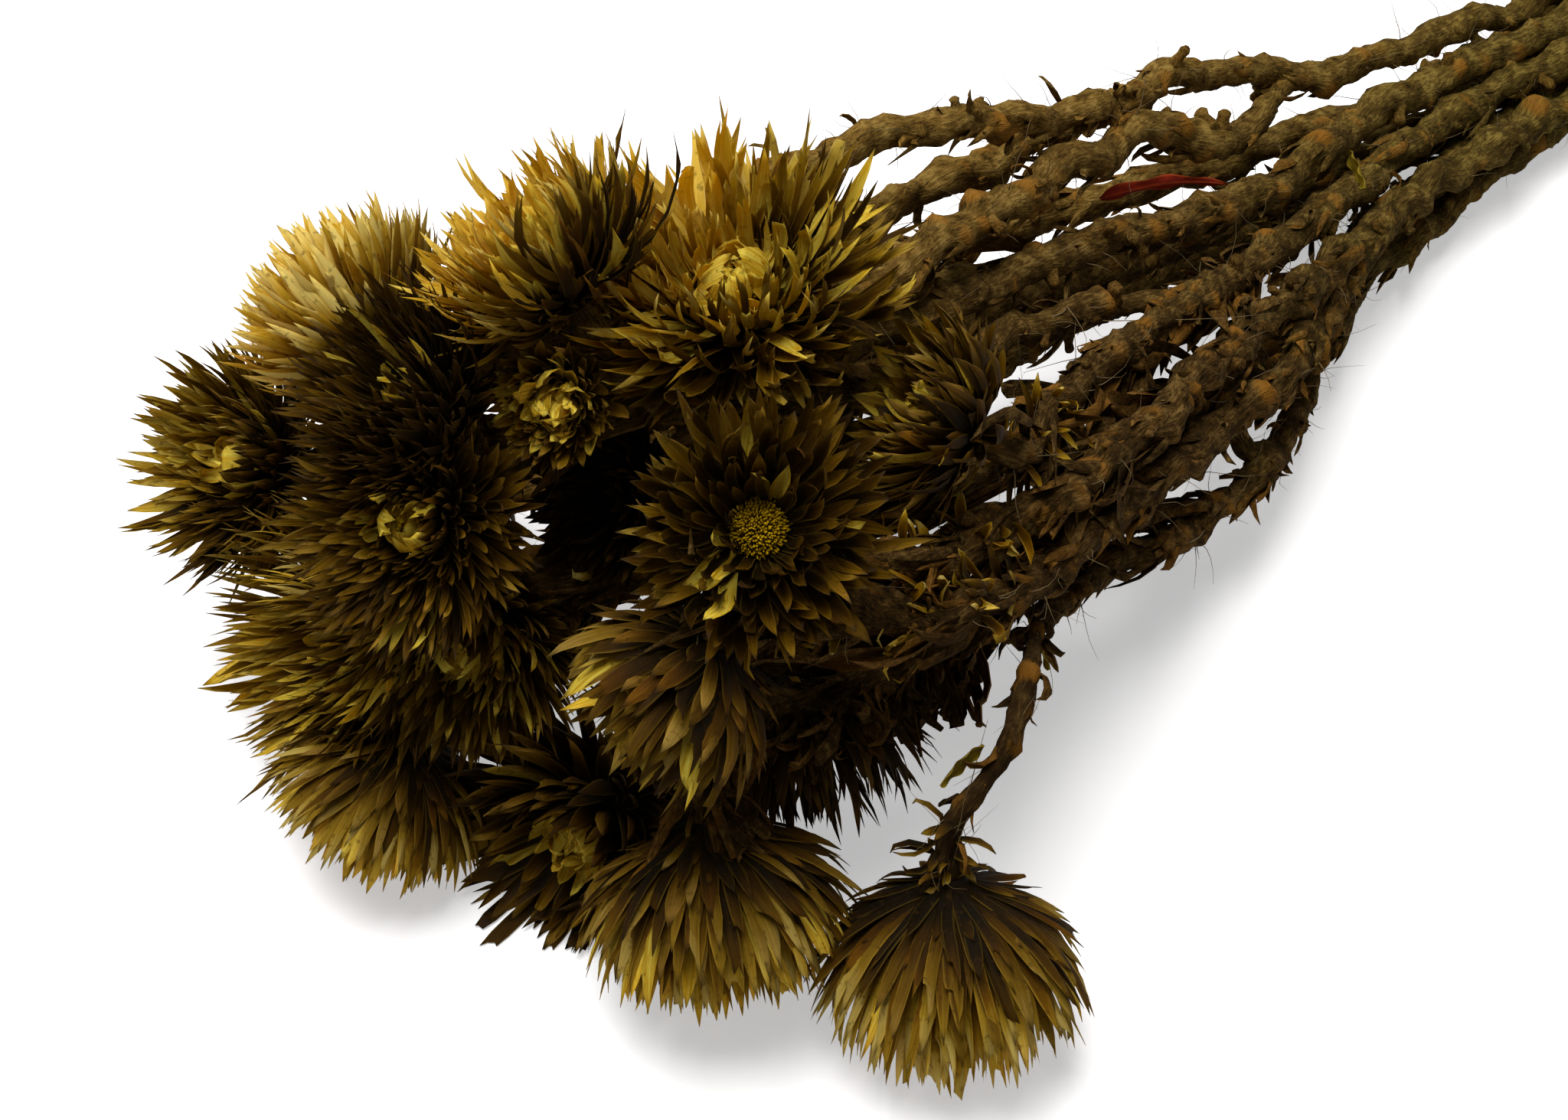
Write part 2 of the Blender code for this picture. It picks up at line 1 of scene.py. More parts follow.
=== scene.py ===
# %% [markdown]
# # A tied bunch of dried everlastings
# The bunch lies on a table: ten felted stems run together through a band near their cut
# ends, fork once or twice, and carry twenty-one flower heads. A head is a rosette of
# two to five hundred stiff papery bracts round a golden middle. The CAD model fixes where
# every stem and head is. This lesson reads those places and grows the visible surfaces
# on them.

# %% Load the frame
import math
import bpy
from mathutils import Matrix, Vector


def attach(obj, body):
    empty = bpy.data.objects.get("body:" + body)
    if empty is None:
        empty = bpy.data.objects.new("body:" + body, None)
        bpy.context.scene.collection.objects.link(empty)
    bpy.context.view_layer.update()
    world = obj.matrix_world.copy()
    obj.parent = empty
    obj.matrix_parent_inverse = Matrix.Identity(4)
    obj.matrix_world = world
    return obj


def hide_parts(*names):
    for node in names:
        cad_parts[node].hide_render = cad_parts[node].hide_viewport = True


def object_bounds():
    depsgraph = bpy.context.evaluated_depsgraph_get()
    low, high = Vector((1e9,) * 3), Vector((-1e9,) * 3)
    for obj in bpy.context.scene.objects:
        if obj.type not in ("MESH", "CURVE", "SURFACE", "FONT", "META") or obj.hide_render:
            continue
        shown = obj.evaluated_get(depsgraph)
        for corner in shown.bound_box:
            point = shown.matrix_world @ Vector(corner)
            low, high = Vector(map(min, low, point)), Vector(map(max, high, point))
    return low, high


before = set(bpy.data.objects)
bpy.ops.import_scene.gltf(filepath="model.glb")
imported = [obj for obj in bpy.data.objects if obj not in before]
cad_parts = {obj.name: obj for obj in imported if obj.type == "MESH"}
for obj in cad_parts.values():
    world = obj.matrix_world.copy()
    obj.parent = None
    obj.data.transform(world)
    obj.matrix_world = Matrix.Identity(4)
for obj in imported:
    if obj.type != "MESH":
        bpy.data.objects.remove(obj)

import zlib
from collections import namedtuple

import bpy
import numpy as np
from mathutils import Vector

MM = 0.001
cad_low, cad_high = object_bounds()
print("CAD box, mm:", [round(1000 * (b - a), 1) for a, b in zip(cad_low, cad_high)])

# %% [markdown]
# ## Meshes from whole arrays
# Every piece here is made of closed tubes: a bract is a flat tube that tapers to a
# point, a stem is a round one, a fibre a very thin one. A tube is an array of rings, so
# one pair of functions can skin thousands of them at once: no loop visits a vertex.

# %% Skins
def draws(name):
    """A random generator that gives the same numbers for the same name on every run."""
    return np.random.default_rng(zlib.crc32(name.encode()))


def skin(rings):
    """Corners and faces of closed tubes given as rings[tube, ring, point].

    Point k of a ring joins point k + 1 and the same two points of the next ring in one
    four-sided face. The first and last rings close with a flat face. Points run
    anticlockwise round a tube seen from its far end, which turns every face outwards.
    """
    tubes, count, sides = rings.shape[:3]
    index = np.arange(tubes * count * sides).reshape(tubes, count, sides)
    beside = np.roll(index, -1, axis=2)
    walls = np.stack([index[:, :-1], beside[:, :-1], beside[:, 1:], index[:, 1:]], axis=-1)
    ends = np.concatenate([index[:, 0, ::-1], index[:, -1]])
    return rings.reshape(-1, 3), [walls.reshape(-1, 4), ends]


def gathered(parts):
    """Several (corners, faces, marks) as one, with the later corners' numbers moved up."""
    corners, faces, marks, first = [], [], {}, 0
    names = sorted({name for _, _, m in parts for name in m})
    for spots, blocks, own in parts:
        corners.append(spots)
        faces += [block + first for block in blocks]
        first += len(spots)
        for name in names:
            blank = np.zeros((len(spots), 3 if name == "grain" else 1))
            marks.setdefault(name, []).append(own.get(name, blank))
    return np.concatenate(corners), faces, {n: np.concatenate(m) for n, m in marks.items()}


# %% Pieces
def add_piece(name, part, finish, slot_name, *stands_for):
    """One mesh in the frame's own coordinates, riding on the bunch's body.

    The marks become named attributes, which the finish reads: one number or one vector
    at each corner. An edge between two corners marked rim is a crease: shading stops at
    it, which keeps a thin blade from looking like a cushion.
    """
    corners, faces, marks = part
    mesh = bpy.data.meshes.new(name)
    mesh.vertices.add(len(corners))
    mesh.vertices.foreach_set("co", corners.astype(np.float32).ravel())
    loops = np.concatenate([block.ravel() for block in faces]).astype(np.int32)
    sizes = np.concatenate([np.full(len(block), block.shape[1]) for block in faces])
    starts = np.concatenate([[0], np.cumsum(sizes)[:-1]]).astype(np.int32)
    mesh.loops.add(len(loops))
    mesh.loops.foreach_set("vertex_index", loops)
    mesh.polygons.add(len(sizes))
    mesh.polygons.foreach_set("loop_start", starts)
    mesh.polygons.foreach_set("use_smooth", np.ones(len(sizes), bool))
    mesh.update(calc_edges=True)
    marks = dict(marks)
    if "rim" in marks:
        rim = marks.pop("rim")[:, 0] > 0.5
        pairs = np.empty(len(mesh.edges) * 2, np.int32)
        mesh.edges.foreach_get("vertices", pairs)
        crease = mesh.attributes.new("sharp_edge", "BOOLEAN", "EDGE")
        crease.data.foreach_set("value", rim[pairs.reshape(-1, 2)].all(axis=1))
    for mark, values in marks.items():
        vector = values.shape[1] == 3
        layer = mesh.attributes.new(mark, "FLOAT_VECTOR" if vector else "FLOAT", "POINT")
        field = "vector" if vector else "value"
        layer.data.foreach_set(field, values.astype(np.float32).ravel())
    piece = bpy.data.objects.new(name, mesh)
    bpy.context.scene.collection.objects.link(piece)
    mesh.materials.append(finish)
    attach(piece, "root")
    if stands_for:
        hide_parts(*stands_for)
    triangles[name] = int((sizes - 2).sum())


triangles = {}


def count_pieces(kind):
    """Prints how many pieces have names that start with kind, and their triangles."""
    sizes = [count for name, count in triangles.items() if name.startswith(kind)]
    print(f"{kind}: {len(sizes)} pieces, {sum(sizes)} triangles")


# %% [markdown]
# ## Where the frame puts things
# A head in the CAD model is a turned cup: its axis is the direction about which its
# corners spread evenly, and its narrow end is the neck. A stem is a tube of eight-sided
# rings, so walking from its tip ring to the neighbouring corners, again and again, gives
# the middle and the radius of every ring.

# %% Corners and directions
MICROMETRES = 1e6
NO_LENGTH = 1e-12
UPRIGHT = 0.05


def welded(name):
    """The corners of a CAD node with doubles merged, and its edges between them."""
    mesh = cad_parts[name].data
    spots = np.empty(len(mesh.vertices) * 3, np.float32)
    mesh.vertices.foreach_get("co", spots)
    spots = np.round(spots.reshape(-1, 3) * MICROMETRES)
    whole, where = np.unique(spots, axis=0, return_inverse=True)
    edges = np.empty(len(mesh.edges) * 2, np.int32)
    mesh.edges.foreach_get("vertices", edges)
    edges = where.ravel()[edges.reshape(-1, 2)]
    return whole / MICROMETRES, edges[edges[:, 0] != edges[:, 1]]


def unit(vectors):
    """Vectors divided by their own lengths."""
    lengths = np.linalg.norm(vectors, axis=-1, keepdims=True)
    return vectors / np.maximum(lengths, NO_LENGTH)


def across(axis):
    """Two directions square to an axis: the first as level as it can be."""
    level = np.cross(axis, [0.0, 0.0, 1.0])
    side = unit(level) if np.linalg.norm(level) > UPRIGHT else np.array([1.0, 0.0, 0.0])
    side = unit(side - (side @ axis) * axis)
    return side, np.cross(axis, side)


# %% Measure heads
Cup = namedtuple("Cup", "neck axis side depth")
SAME_LEVEL = 0.01 * MM


def measure_cup(name):
    """The cup of a head. Of the three main directions of its corners, the axis is the
    one whose other two spread alike; it points away from the narrow end."""
    spots, _ = welded(name)
    middle = spots.mean(0)
    spread, ways = np.linalg.eigh(np.cov((spots - middle).T))
    others = [(spread[k - 1], spread[k - 2]) for k in range(3)]
    axis = ways[:, int(np.argmin([abs(a - b) / (a + b) for a, b in others]))]
    along = (spots - middle) @ axis
    off = np.linalg.norm(spots - middle - along[:, None] * axis, axis=1)
    low, high = along < along.min() + SAME_LEVEL, along > along.max() - SAME_LEVEL
    if off[high].mean() < off[low].mean():
        axis, along = -axis, -along
    neck = middle + along.min() * axis
    return Cup(neck, axis, across(axis)[0], np.ptp(along))


# %% Measure stems
RING_CORNERS = 8
MOST_RINGS = 60


def measure_line(name, end):
    """Middle and mean radius of each ring of a stem, from its foot to the tip ring, which
    is the eight corners nearest to end."""
    spots, edges = welded(name)
    layer = np.full(len(spots), -1)
    layer[np.argsort(np.linalg.norm(spots - end, axis=1))[:RING_CORNERS]] = 0
    both = np.concatenate([edges, edges[:, ::-1]])
    for step in range(1, MOST_RINGS):
        reached = both[(layer[both[:, 0]] == step - 1) & (layer[both[:, 1]] < 0), 1]
        if not len(reached):
            break
        layer[reached] = step
    count = layer.max() + 1
    middles = np.array([spots[layer == k].mean(0) for k in range(count)])
    radii = np.array([np.linalg.norm(spots[layer == k] - middles[k], axis=1).mean()
                      for k in range(count)])
    return middles[::-1], radii[::-1]


STEM_TO_HEAD = {
    "stem_top": "05", "stem_ridge": "04", "stem_middle": "09", "stem_near": "08",
    "stem_under": "10", "stem_low": "16", "stem_floor": "15", "stem_core": "03",
    "stem_far": "02", "stem_back": "13", "branch_curl": "06", "branch_crest": "01",
    "branch_ridge": "17", "branch_middle": "07", "branch_near": "18", "branch_under": "11",
    "branch_hook": "19", "branch_floor": "14", "branch_core": "12", "branch_far": "20",
    "branch_back": "21",
}
cups = {head: measure_cup("head_" + head) for head in STEM_TO_HEAD.values()}
lines = {stem: measure_line(stem, cups[head].neck) for stem, head in STEM_TO_HEAD.items()}
for stem, (middles, radii) in lines.items():
    run = np.linalg.norm(np.diff(middles, axis=0), axis=1).sum()
    print(f"{stem}: {len(middles)} rings, {1000 * run:.0f} mm, radius "
          f"{1000 * radii.min():.1f} to {1000 * radii.max():.1f} mm")

# %% [markdown]
# ## Shader sums as Python
# A finish is mostly arithmetic: how far along the bract, plus a little noise, times how
# pale this flower is. Wrapping a socket in a small class lets that be written as sums.

# %% A socket in an expression
class Shade:
    """A shader socket: + - and * on it add Math nodes, and node() adds any other."""

    def __init__(self, tree, socket=None):
        self.tree, self.socket = tree, socket

    def node(self, kind, settings=(), sockets=(), out=0):
        """A new node: its settings first, then the values or links of its sockets."""
        made = self.tree.nodes.new(kind)
        for name, value in dict(settings).items():
            if name == "stops":
                ramp = made.color_ramp
                while len(ramp.elements) < len(value):
                    ramp.elements.new(0.5)
                for element, (spot, colour) in zip(ramp.elements, value):
                    element.position, element.color = spot, (*colour, 1.0)
            else:
                setattr(made, name, value)
        for name, value in dict(sockets).items():
            if isinstance(value, Shade):
                self.tree.links.new(value.socket, made.inputs[name])
            else:
                made.inputs[name].default_value = value
        return Shade(self.tree, made.outputs[out])

    def math(self, operation, *values, clamp=False):
        return self.node("ShaderNodeMath", {"operation": operation, "use_clamp": clamp},
                         dict(enumerate(values)))

    def __add__(self, other):
        return self.math("ADD", self, other)

    def __sub__(self, other):
        return self.math("SUBTRACT", self, other)

    def __rsub__(self, other):
        return self.math("SUBTRACT", other, self)

    def __mul__(self, other):
        return self.math("MULTIPLY", self, other)

    __radd__, __rmul__ = __add__, __mul__

    def clamped(self):
        """The value held between 0 and 1."""
        return self.math("ADD", self, 0.0, clamp=True)

    def rising(self, low, high):
        """0 below low, 1 above high and a soft slope between them."""
        return self.node("ShaderNodeMapRange", {"interpolation_type": "SMOOTHSTEP"},
                         {0: self, 1: low, 2: high})

    def mark(self, name, vector=False):
        """A named attribute of the mesh."""
        return self.node("ShaderNodeAttribute", {"attribute_name": name},
                         out=1 if vector else 2)

    def noise(self, where, scale, detail=3.0, rough=0.55):
        """Fractal noise at a place, from 0 to 1."""
        return self.node("ShaderNodeTexNoise", {},
                         {"Vector": where, "Scale": scale, "Detail": detail,
                          "Roughness": rough})

    def stretched(self, scales):
        """A vector multiplied in x, y and z by the three scales."""
        return self.node("ShaderNodeVectorMath", {"operation": "MULTIPLY"},
                         {0: self, 1: scales})

    def part(self, axis):
        """One of a vector's three numbers."""
        return self.node("ShaderNodeSeparateXYZ", {}, {0: self}, out="XYZ".index(axis))

    def place(self):
        """Where the point is, in metres from the middle of the bunch."""
        return self.node("ShaderNodeTexCoord", out=OBJECT_OUTPUT)

    def ramp(self, *stops):
        """The colour at this value. A stop is a place from 0 to 1 and three levels."""
        stops = [(spot, srgb(*levels)) for spot, *levels in stops]
        return self.node("ShaderNodeValToRGB", {"stops": stops}, {0: self})

    def bump(self, height, strength, distance):
        """A normal tilted by a height; distance is the height's size in metres."""
        return self.node("ShaderNodeBump", {}, {"Strength": strength, "Distance": distance,
                                                "Height": height})

    def surface(self, colour, rough, gloss, normal=None):
        """The plain surface shader; gloss is its specular level."""
        sockets = {"Base Color": colour, "Roughness": rough, "Specular IOR Level": gloss}
        if normal is not None:
            sockets["Normal"] = normal
        return self.node("ShaderNodeBsdfPrincipled", {}, sockets)

    def lit_through(self, share, front, colour):
        """A thin dry skin: front, with a share of light of one colour let through."""
        through = self.node("ShaderNodeBsdfTranslucent", {}, {"Color": opaque(colour)})
        return self.node("ShaderNodeMixShader", {}, {0: share, 1: front, 2: through})

    def blend(self, share, first, second):
        """The first colour at share 0 and the second at share 1."""
        return self.node("ShaderNodeMix", {"data_type": "RGBA"},
                         {0: share, 6: opaque(first), 7: opaque(second)}, out=2)


OBJECT_OUTPUT = 3


def opaque(colour):
    """A colour given as three numbers with its alpha added; a socket stays as it is."""
    return colour if isinstance(colour, Shade) else (*colour, 1.0)


def srgb(*levels):
    """Levels from 0 to 255, as a screen shows them, turned into linear light."""
    shown = np.array(levels) / 255
    return tuple(float(x) for x in
                 np.where(shown <= 0.04045, shown / 12.92, ((shown + 0.055) / 1.055) ** 2.4))


def new_finish(name):
    """An empty material, and a Shade to grow its nodes from."""
    material = bpy.data.materials.new(name)
    material.use_nodes = True
    material.node_tree.nodes.clear()
    return material, Shade(material.node_tree)


def put_on(root, surface):
    """Joins a shader to the material's output."""
    made = root.tree.nodes.new("ShaderNodeOutputMaterial")
    root.tree.links.new(surface.socket, made.inputs["Surface"])


# %% [markdown]
# ## The finish of a bract
# A dried bract is like thin horn. Its outer face is matte and olive brown, its inner
# face is a smooth yellow that catches the light, fine lines run along it, and the tip has
# dried almost black. Light shines through it, which makes a flower against a window
# glow, so the shader mixes a little Translucent in.

# %% Bract finish
FINE_LINES = (2600.0, 140.0, 1.0)
CLOUDS = (330.0, 260.0, 1.0)
SPECKS = (900.0, 900.0, 1.0)
THROUGH_BRACT = srgb(228, 190, 36)
PALE_RIM_AND_HIGHLIGHT = srgb(208, 165, 54)
SPECK = srgb(56, 36, 8)
DEAD_TIP = srgb(30, 19, 5)


def bract_finish():
    """The body value runs from the dark foot of a bract to its light tip, and lifts with
    the bract's own tone and paleness. The dark foot is painted shade for the deep inside of
    the head, and the paleness is partly the head's own and partly painted light. Three ramps
    read it: a dark back, a pale back and an inner face; as far as paleness is painted light,
    the dark and pale backs are shaded and lit copies. Gold, a pale rim that is partly a
    painted highlight, specks and the dead tip are laid over them."""
    material, s = new_finish("dried_bract")
    along, tone = s.mark("along"), s.mark("tone")
    inner = (s.mark("inner") * 2.5).clamped()
    pale, gold = s.mark("pale"), s.mark("gold")
    grain = s.mark("grain", vector=True)
    streaks = s.noise(grain.stretched(FINE_LINES), 1.0, 3.0)
    blotch = s.noise(grain.stretched(CLOUDS), 1.0, 2.0)
    # Painted shade: the foot of every bract is darker, for the shade deep inside the head.
    body = (along * 1.2 + tone * 0.78 + streaks * 0.55 + blotch * 0.25 + pale * 0.38
            - 1.20).clamped()
    dark_back = body.ramp((0.0, 14, 8, 0), (0.35, 36, 21, 1), (0.7, 70, 42, 2),
                          (1.0, 110, 71, 6))
    pale_back = body.ramp((0.0, 58, 35, 1), (0.35, 146, 100, 8), (0.7, 214, 175, 48),
                          (1.0, 252, 232, 128))
    face = body.ramp((0.0, 48, 29, 1), (0.4, 140, 95, 4), (0.75, 208, 166, 28),
                     (1.0, 244, 216, 90))
    # Paleness is partly the head's own and partly painted light, so these blends are partly lit
    # and shaded copies.
    face = s.blend(pale * 0.85 + 0.08, dark_back, face)
    colour = s.blend(inner, s.blend(pale, dark_back, pale_back), face)
    golden = s.blend(streaks.rising(0.3, 0.7), srgb(214, 168, 18), srgb(254, 236, 96))
    colour = s.blend(gold, colour, golden)
    # The pale rim: partly the dry margin's own colour, partly a painted highlight along the
    # bract's edges.
    rim_and_highlight = s.mark("edge").rising(0.72, 1.0) * (pale * 0.6 + 0.07)
    colour = s.blend(rim_and_highlight, colour, PALE_RIM_AND_HIGHLIGHT)
    specks = s.noise(grain.stretched(SPECKS), 1.0, 2.0).rising(0.58, 0.70)
    colour = s.blend(specks * 0.5, colour, SPECK)
    tip = (along + streaks * 0.12 - pale * 0.16).rising(0.90, 1.05)
    colour = s.blend(tip * 0.85, colour, DEAD_TIP)
    rough = (0.68 - inner * 0.2 - gold * 0.22 + streaks * 0.14).clamped()
    back = s.surface(colour, rough, 0.07, s.bump(streaks, 0.6, 0.3 * MM))
    put_on(s, s.lit_through(pale * 0.36 + gold * 0.26 + 0.03, back, THROUGH_BRACT))
    return material


bract = bract_finish()

# %% [markdown]
# ## Blades
# A bract is a pointed strip, cupped across and curved along. So are a leaf and the
# shreds of dead leaf on a stem, so one function makes them all. Each blade has its own
# foot and three directions: out from what it grows on, up along that, and round it. Its
# middle line is a Bezier curve in the out-up plane.

# %% The shape of blades
GOLDEN = math.radians(137.50776)
ARM = 0.38
TWIST_FROM = 0.15
BELLY_FULL = 0.36
POINTED = 0.96
ROUNDING = 1.6
HOOK_FROM = 0.72
STATIONS = np.array([0.0, 0.16, 0.36, 0.56, 0.74, 0.88, 1.0])
Section = namedtuple("Section", "place side")
BROAD = Section(np.array([1.0, 0.42, -0.42, -1.0, -0.42, 0.42]),
                np.array([0.0, 1.0, 1.0, 0.0, -1.0, -1.0]))
SLIM = Section(np.array([1.0, 0.0, -1.0, 0.0]), np.array([0.0, 1.0, 0.0, -1.0]))


def heading(angle):
    """The unit direction at an angle in the out-up plane."""
    return np.stack([np.cos(angle), np.sin(angle)], -1)


def blade_rings(b, stations=STATIONS, section=BROAD):
    """Rings of many blades, and the marks that their finish reads.

    Middle line: (1-s)^3 foot + 3 (1-s)^2 s A + 3 (1-s) s^2 B + s^3 tip, where A lies
    ahead of the foot along the start slope and B behind the tip along the finish slope,
    both by ARM of the foot-to-tip distance, with a sideways drift of s squared. Half
    width: from the root's share to 1 over the first third, then a fall to the point that
    starts at taper; a blunt blade, whose tip has broken off, keeps part of its width, and
    its end is cut by a notch or a slant. Across: the edges stand up by fold times the
    half width times the square of the place across. Near the tip the blade hooks towards
    its inner side. A section gives the places across where the surface has corners, and
    their side: 1 for the inner face, -1 for the outer one and 0 for the rim.
    """
    s = stations[None, :]
    col = {k: v[:, None] for k, v in b.items() if v.ndim == 1}
    chord = b["tip"] - b["foot"]
    long = np.linalg.norm(chord, axis=1)[:, None]
    ahead = b["foot"] + ARM * long * heading(b["start"])
    behind = b["tip"] - ARM * long * heading(b["finish"])
    k = s[..., None]
    plane = ((1 - k) ** 3 * b["foot"][:, None] + 3 * (1 - k) ** 2 * k * ahead[:, None]
             + 3 * (1 - k) * k ** 2 * behind[:, None] + k ** 3 * b["tip"][:, None])
    out, up = b["out"][:, None], b["up"][:, None]
    about = np.cross(b["up"], b["out"])[:, None]
    sway = long * (col["drift"] * s ** 2 + col["wave"] * np.sin(6.0 * s + col["phase"]))
    line = (b["origin"][:, None] + plane[..., :1] * out + plane[..., 1:] * up
            + sway[..., None] * about)
    way = unit(np.gradient(line, axis=1))
    side = unit(about - (about * way).sum(-1, keepdims=True) * way)
    face = np.cross(way, side)
    twist = (col["twist"] * (s - TWIST_FROM))[..., None]
    side, face = (np.cos(twist) * side + np.sin(twist) * face,
                  np.cos(twist) * face - np.sin(twist) * side)
    growing = np.sin(np.minimum(1.0, s / BELLY_FULL) * math.pi / 2)
    belly = col["root"] + (1 - col["root"]) * growing
    falling = (np.clip(s - col["taper"], 0, 1) / (1 - col["taper"])) ** ROUNDING
    point = 1.0 - (POINTED - col["blunt"]) * falling
    half = col["wide"] / 2 * belly * point
    thick = col["thick"] * (1.0 - 0.6 * s)
    u = section.place[None, None, :]
    lift = (col["fold"] * half)[..., None] * u ** 2 + section.side * (thick[..., None] / 2)
    hooked = np.clip((s - HOOK_FROM) / (1 - HOOK_FROM), 0, 1)
    lift = lift + (col["hook"] * long * hooked ** 2)[..., None]
    torn = -(col["notch"] * s ** 4 * long)[..., None] * (1 - np.abs(u))
    torn = torn - (col["slant"] * s ** 4 * long)[..., None] * (u + 1) / 2
    rings = (line[:, :, None] + side[:, :, None] * (half[..., None] * u)[..., None]
             + face[:, :, None] * lift[..., None] + way[:, :, None] * torn[..., None])
    shape = rings.shape[:3]
    marks = {
        "along": np.broadcast_to((s * (1 - 0.3 * col["blunt"]))[..., None], shape),
        "inner": np.broadcast_to(section.side > 0, shape),
        "rim": np.broadcast_to(section.side == 0, shape),
        "edge": np.broadcast_to(np.abs(section.place), shape),
        "grain": np.stack(np.broadcast_arrays(
            half[..., None] * u, (s * long)[..., None],
            np.arange(len(line))[:, None, None] * 0.37), axis=-1).reshape(*shape, 3),
    }
    for key in ("tone", "pale", "gold"):
        marks[key] = np.broadcast_to(b[key][:, None, None], shape)
    return rings, marks


# %% Settings of many blades
FULL_TURN = 6.3


def plain_blades(rng, n, **given):
    """The settings of n blades, with a plain value for each that isn't given."""
    b = {"drift": rng.normal(0, 0.05, n), "wave": np.zeros(n),
         "phase": rng.uniform(0, FULL_TURN, n),
         "twist": rng.normal(0, 0.25, n), "root": np.full(n, 0.6), "taper": np.full(n, 0.6),
         "wide": np.full(n, 2.0 * MM), "thick": np.full(n, 0.17 * MM),
         "fold": 0.22 + np.abs(rng.normal(0, 0.2, n)), "hook": np.abs(rng.normal(0, 0.02, n)),
         "notch": np.zeros(n), "slant": np.zeros(n), "blunt": np.zeros(n),
         "tone": rng.random(n), "pale": np.zeros(n), "gold": np.zeros(n)}
    b.update(given)
    return b


# %% Into the bunch and onto the table
def in_place(points, cup):
    """Points in a flower's own axes moved to its place in the bunch."""
    other = np.cross(cup.axis, cup.side)
    return (cup.neck + points[..., :1] * cup.side + points[..., 1:2] * other
            + points[..., 2:] * cup.axis)


SOFT = 2 * MM
LIE = 0.25 * MM
HUMP = 0.18


def off_table(points):
    """Points below the table bent back up to lie on it. With h the height, the new height
    is (h + root of (h squared + SOFT squared)) / 2, which is almost h above the table and
    almost 0 under it. A small hump taken off near 0 lets points lie closer."""
    h = points[..., 2] - LIE
    hump = HUMP * SOFT * np.exp(-(h / SOFT) ** 2)
    eased = LIE + (h + np.sqrt(h ** 2 + SOFT ** 2)) / 2 - hump
    return np.concatenate([points[..., :2], eased[..., None]], axis=-1)


# %% Tubes and turned solids
def closed_tubes(rings, marks):
    """Rings and their marks as a part for gathered() and add_piece()."""
    corners, faces = skin(rings)
    return corners, faces, {k: np.asarray(v, float).reshape(len(corners), -1)
                            for k, v in marks.items()}


def bearings(sides):
    """Even angles once round a tube of so many sides."""
    return np.arange(sides) * 2 * math.pi / sides


def spokes(side, other, sides):
    """Unit directions round a tube's middle at each of its points, from two directions
    square to it: the cosine of the angle times one plus the sine times the other."""
    angle = bearings(sides)[:, None]
    return side[..., None, :] * np.cos(angle) + other[..., None, :] * np.sin(angle)


def turned(profile, sides=20):
    """A closed solid turned about +z from (radius, height) pairs, foot first."""
    angles = bearings(sides)
    r, z = np.array(profile).T
    return np.stack([r[:, None] * np.cos(angles), r[:, None] * np.sin(angles),
                     z[:, None] + 0 * angles], axis=-1)[None]
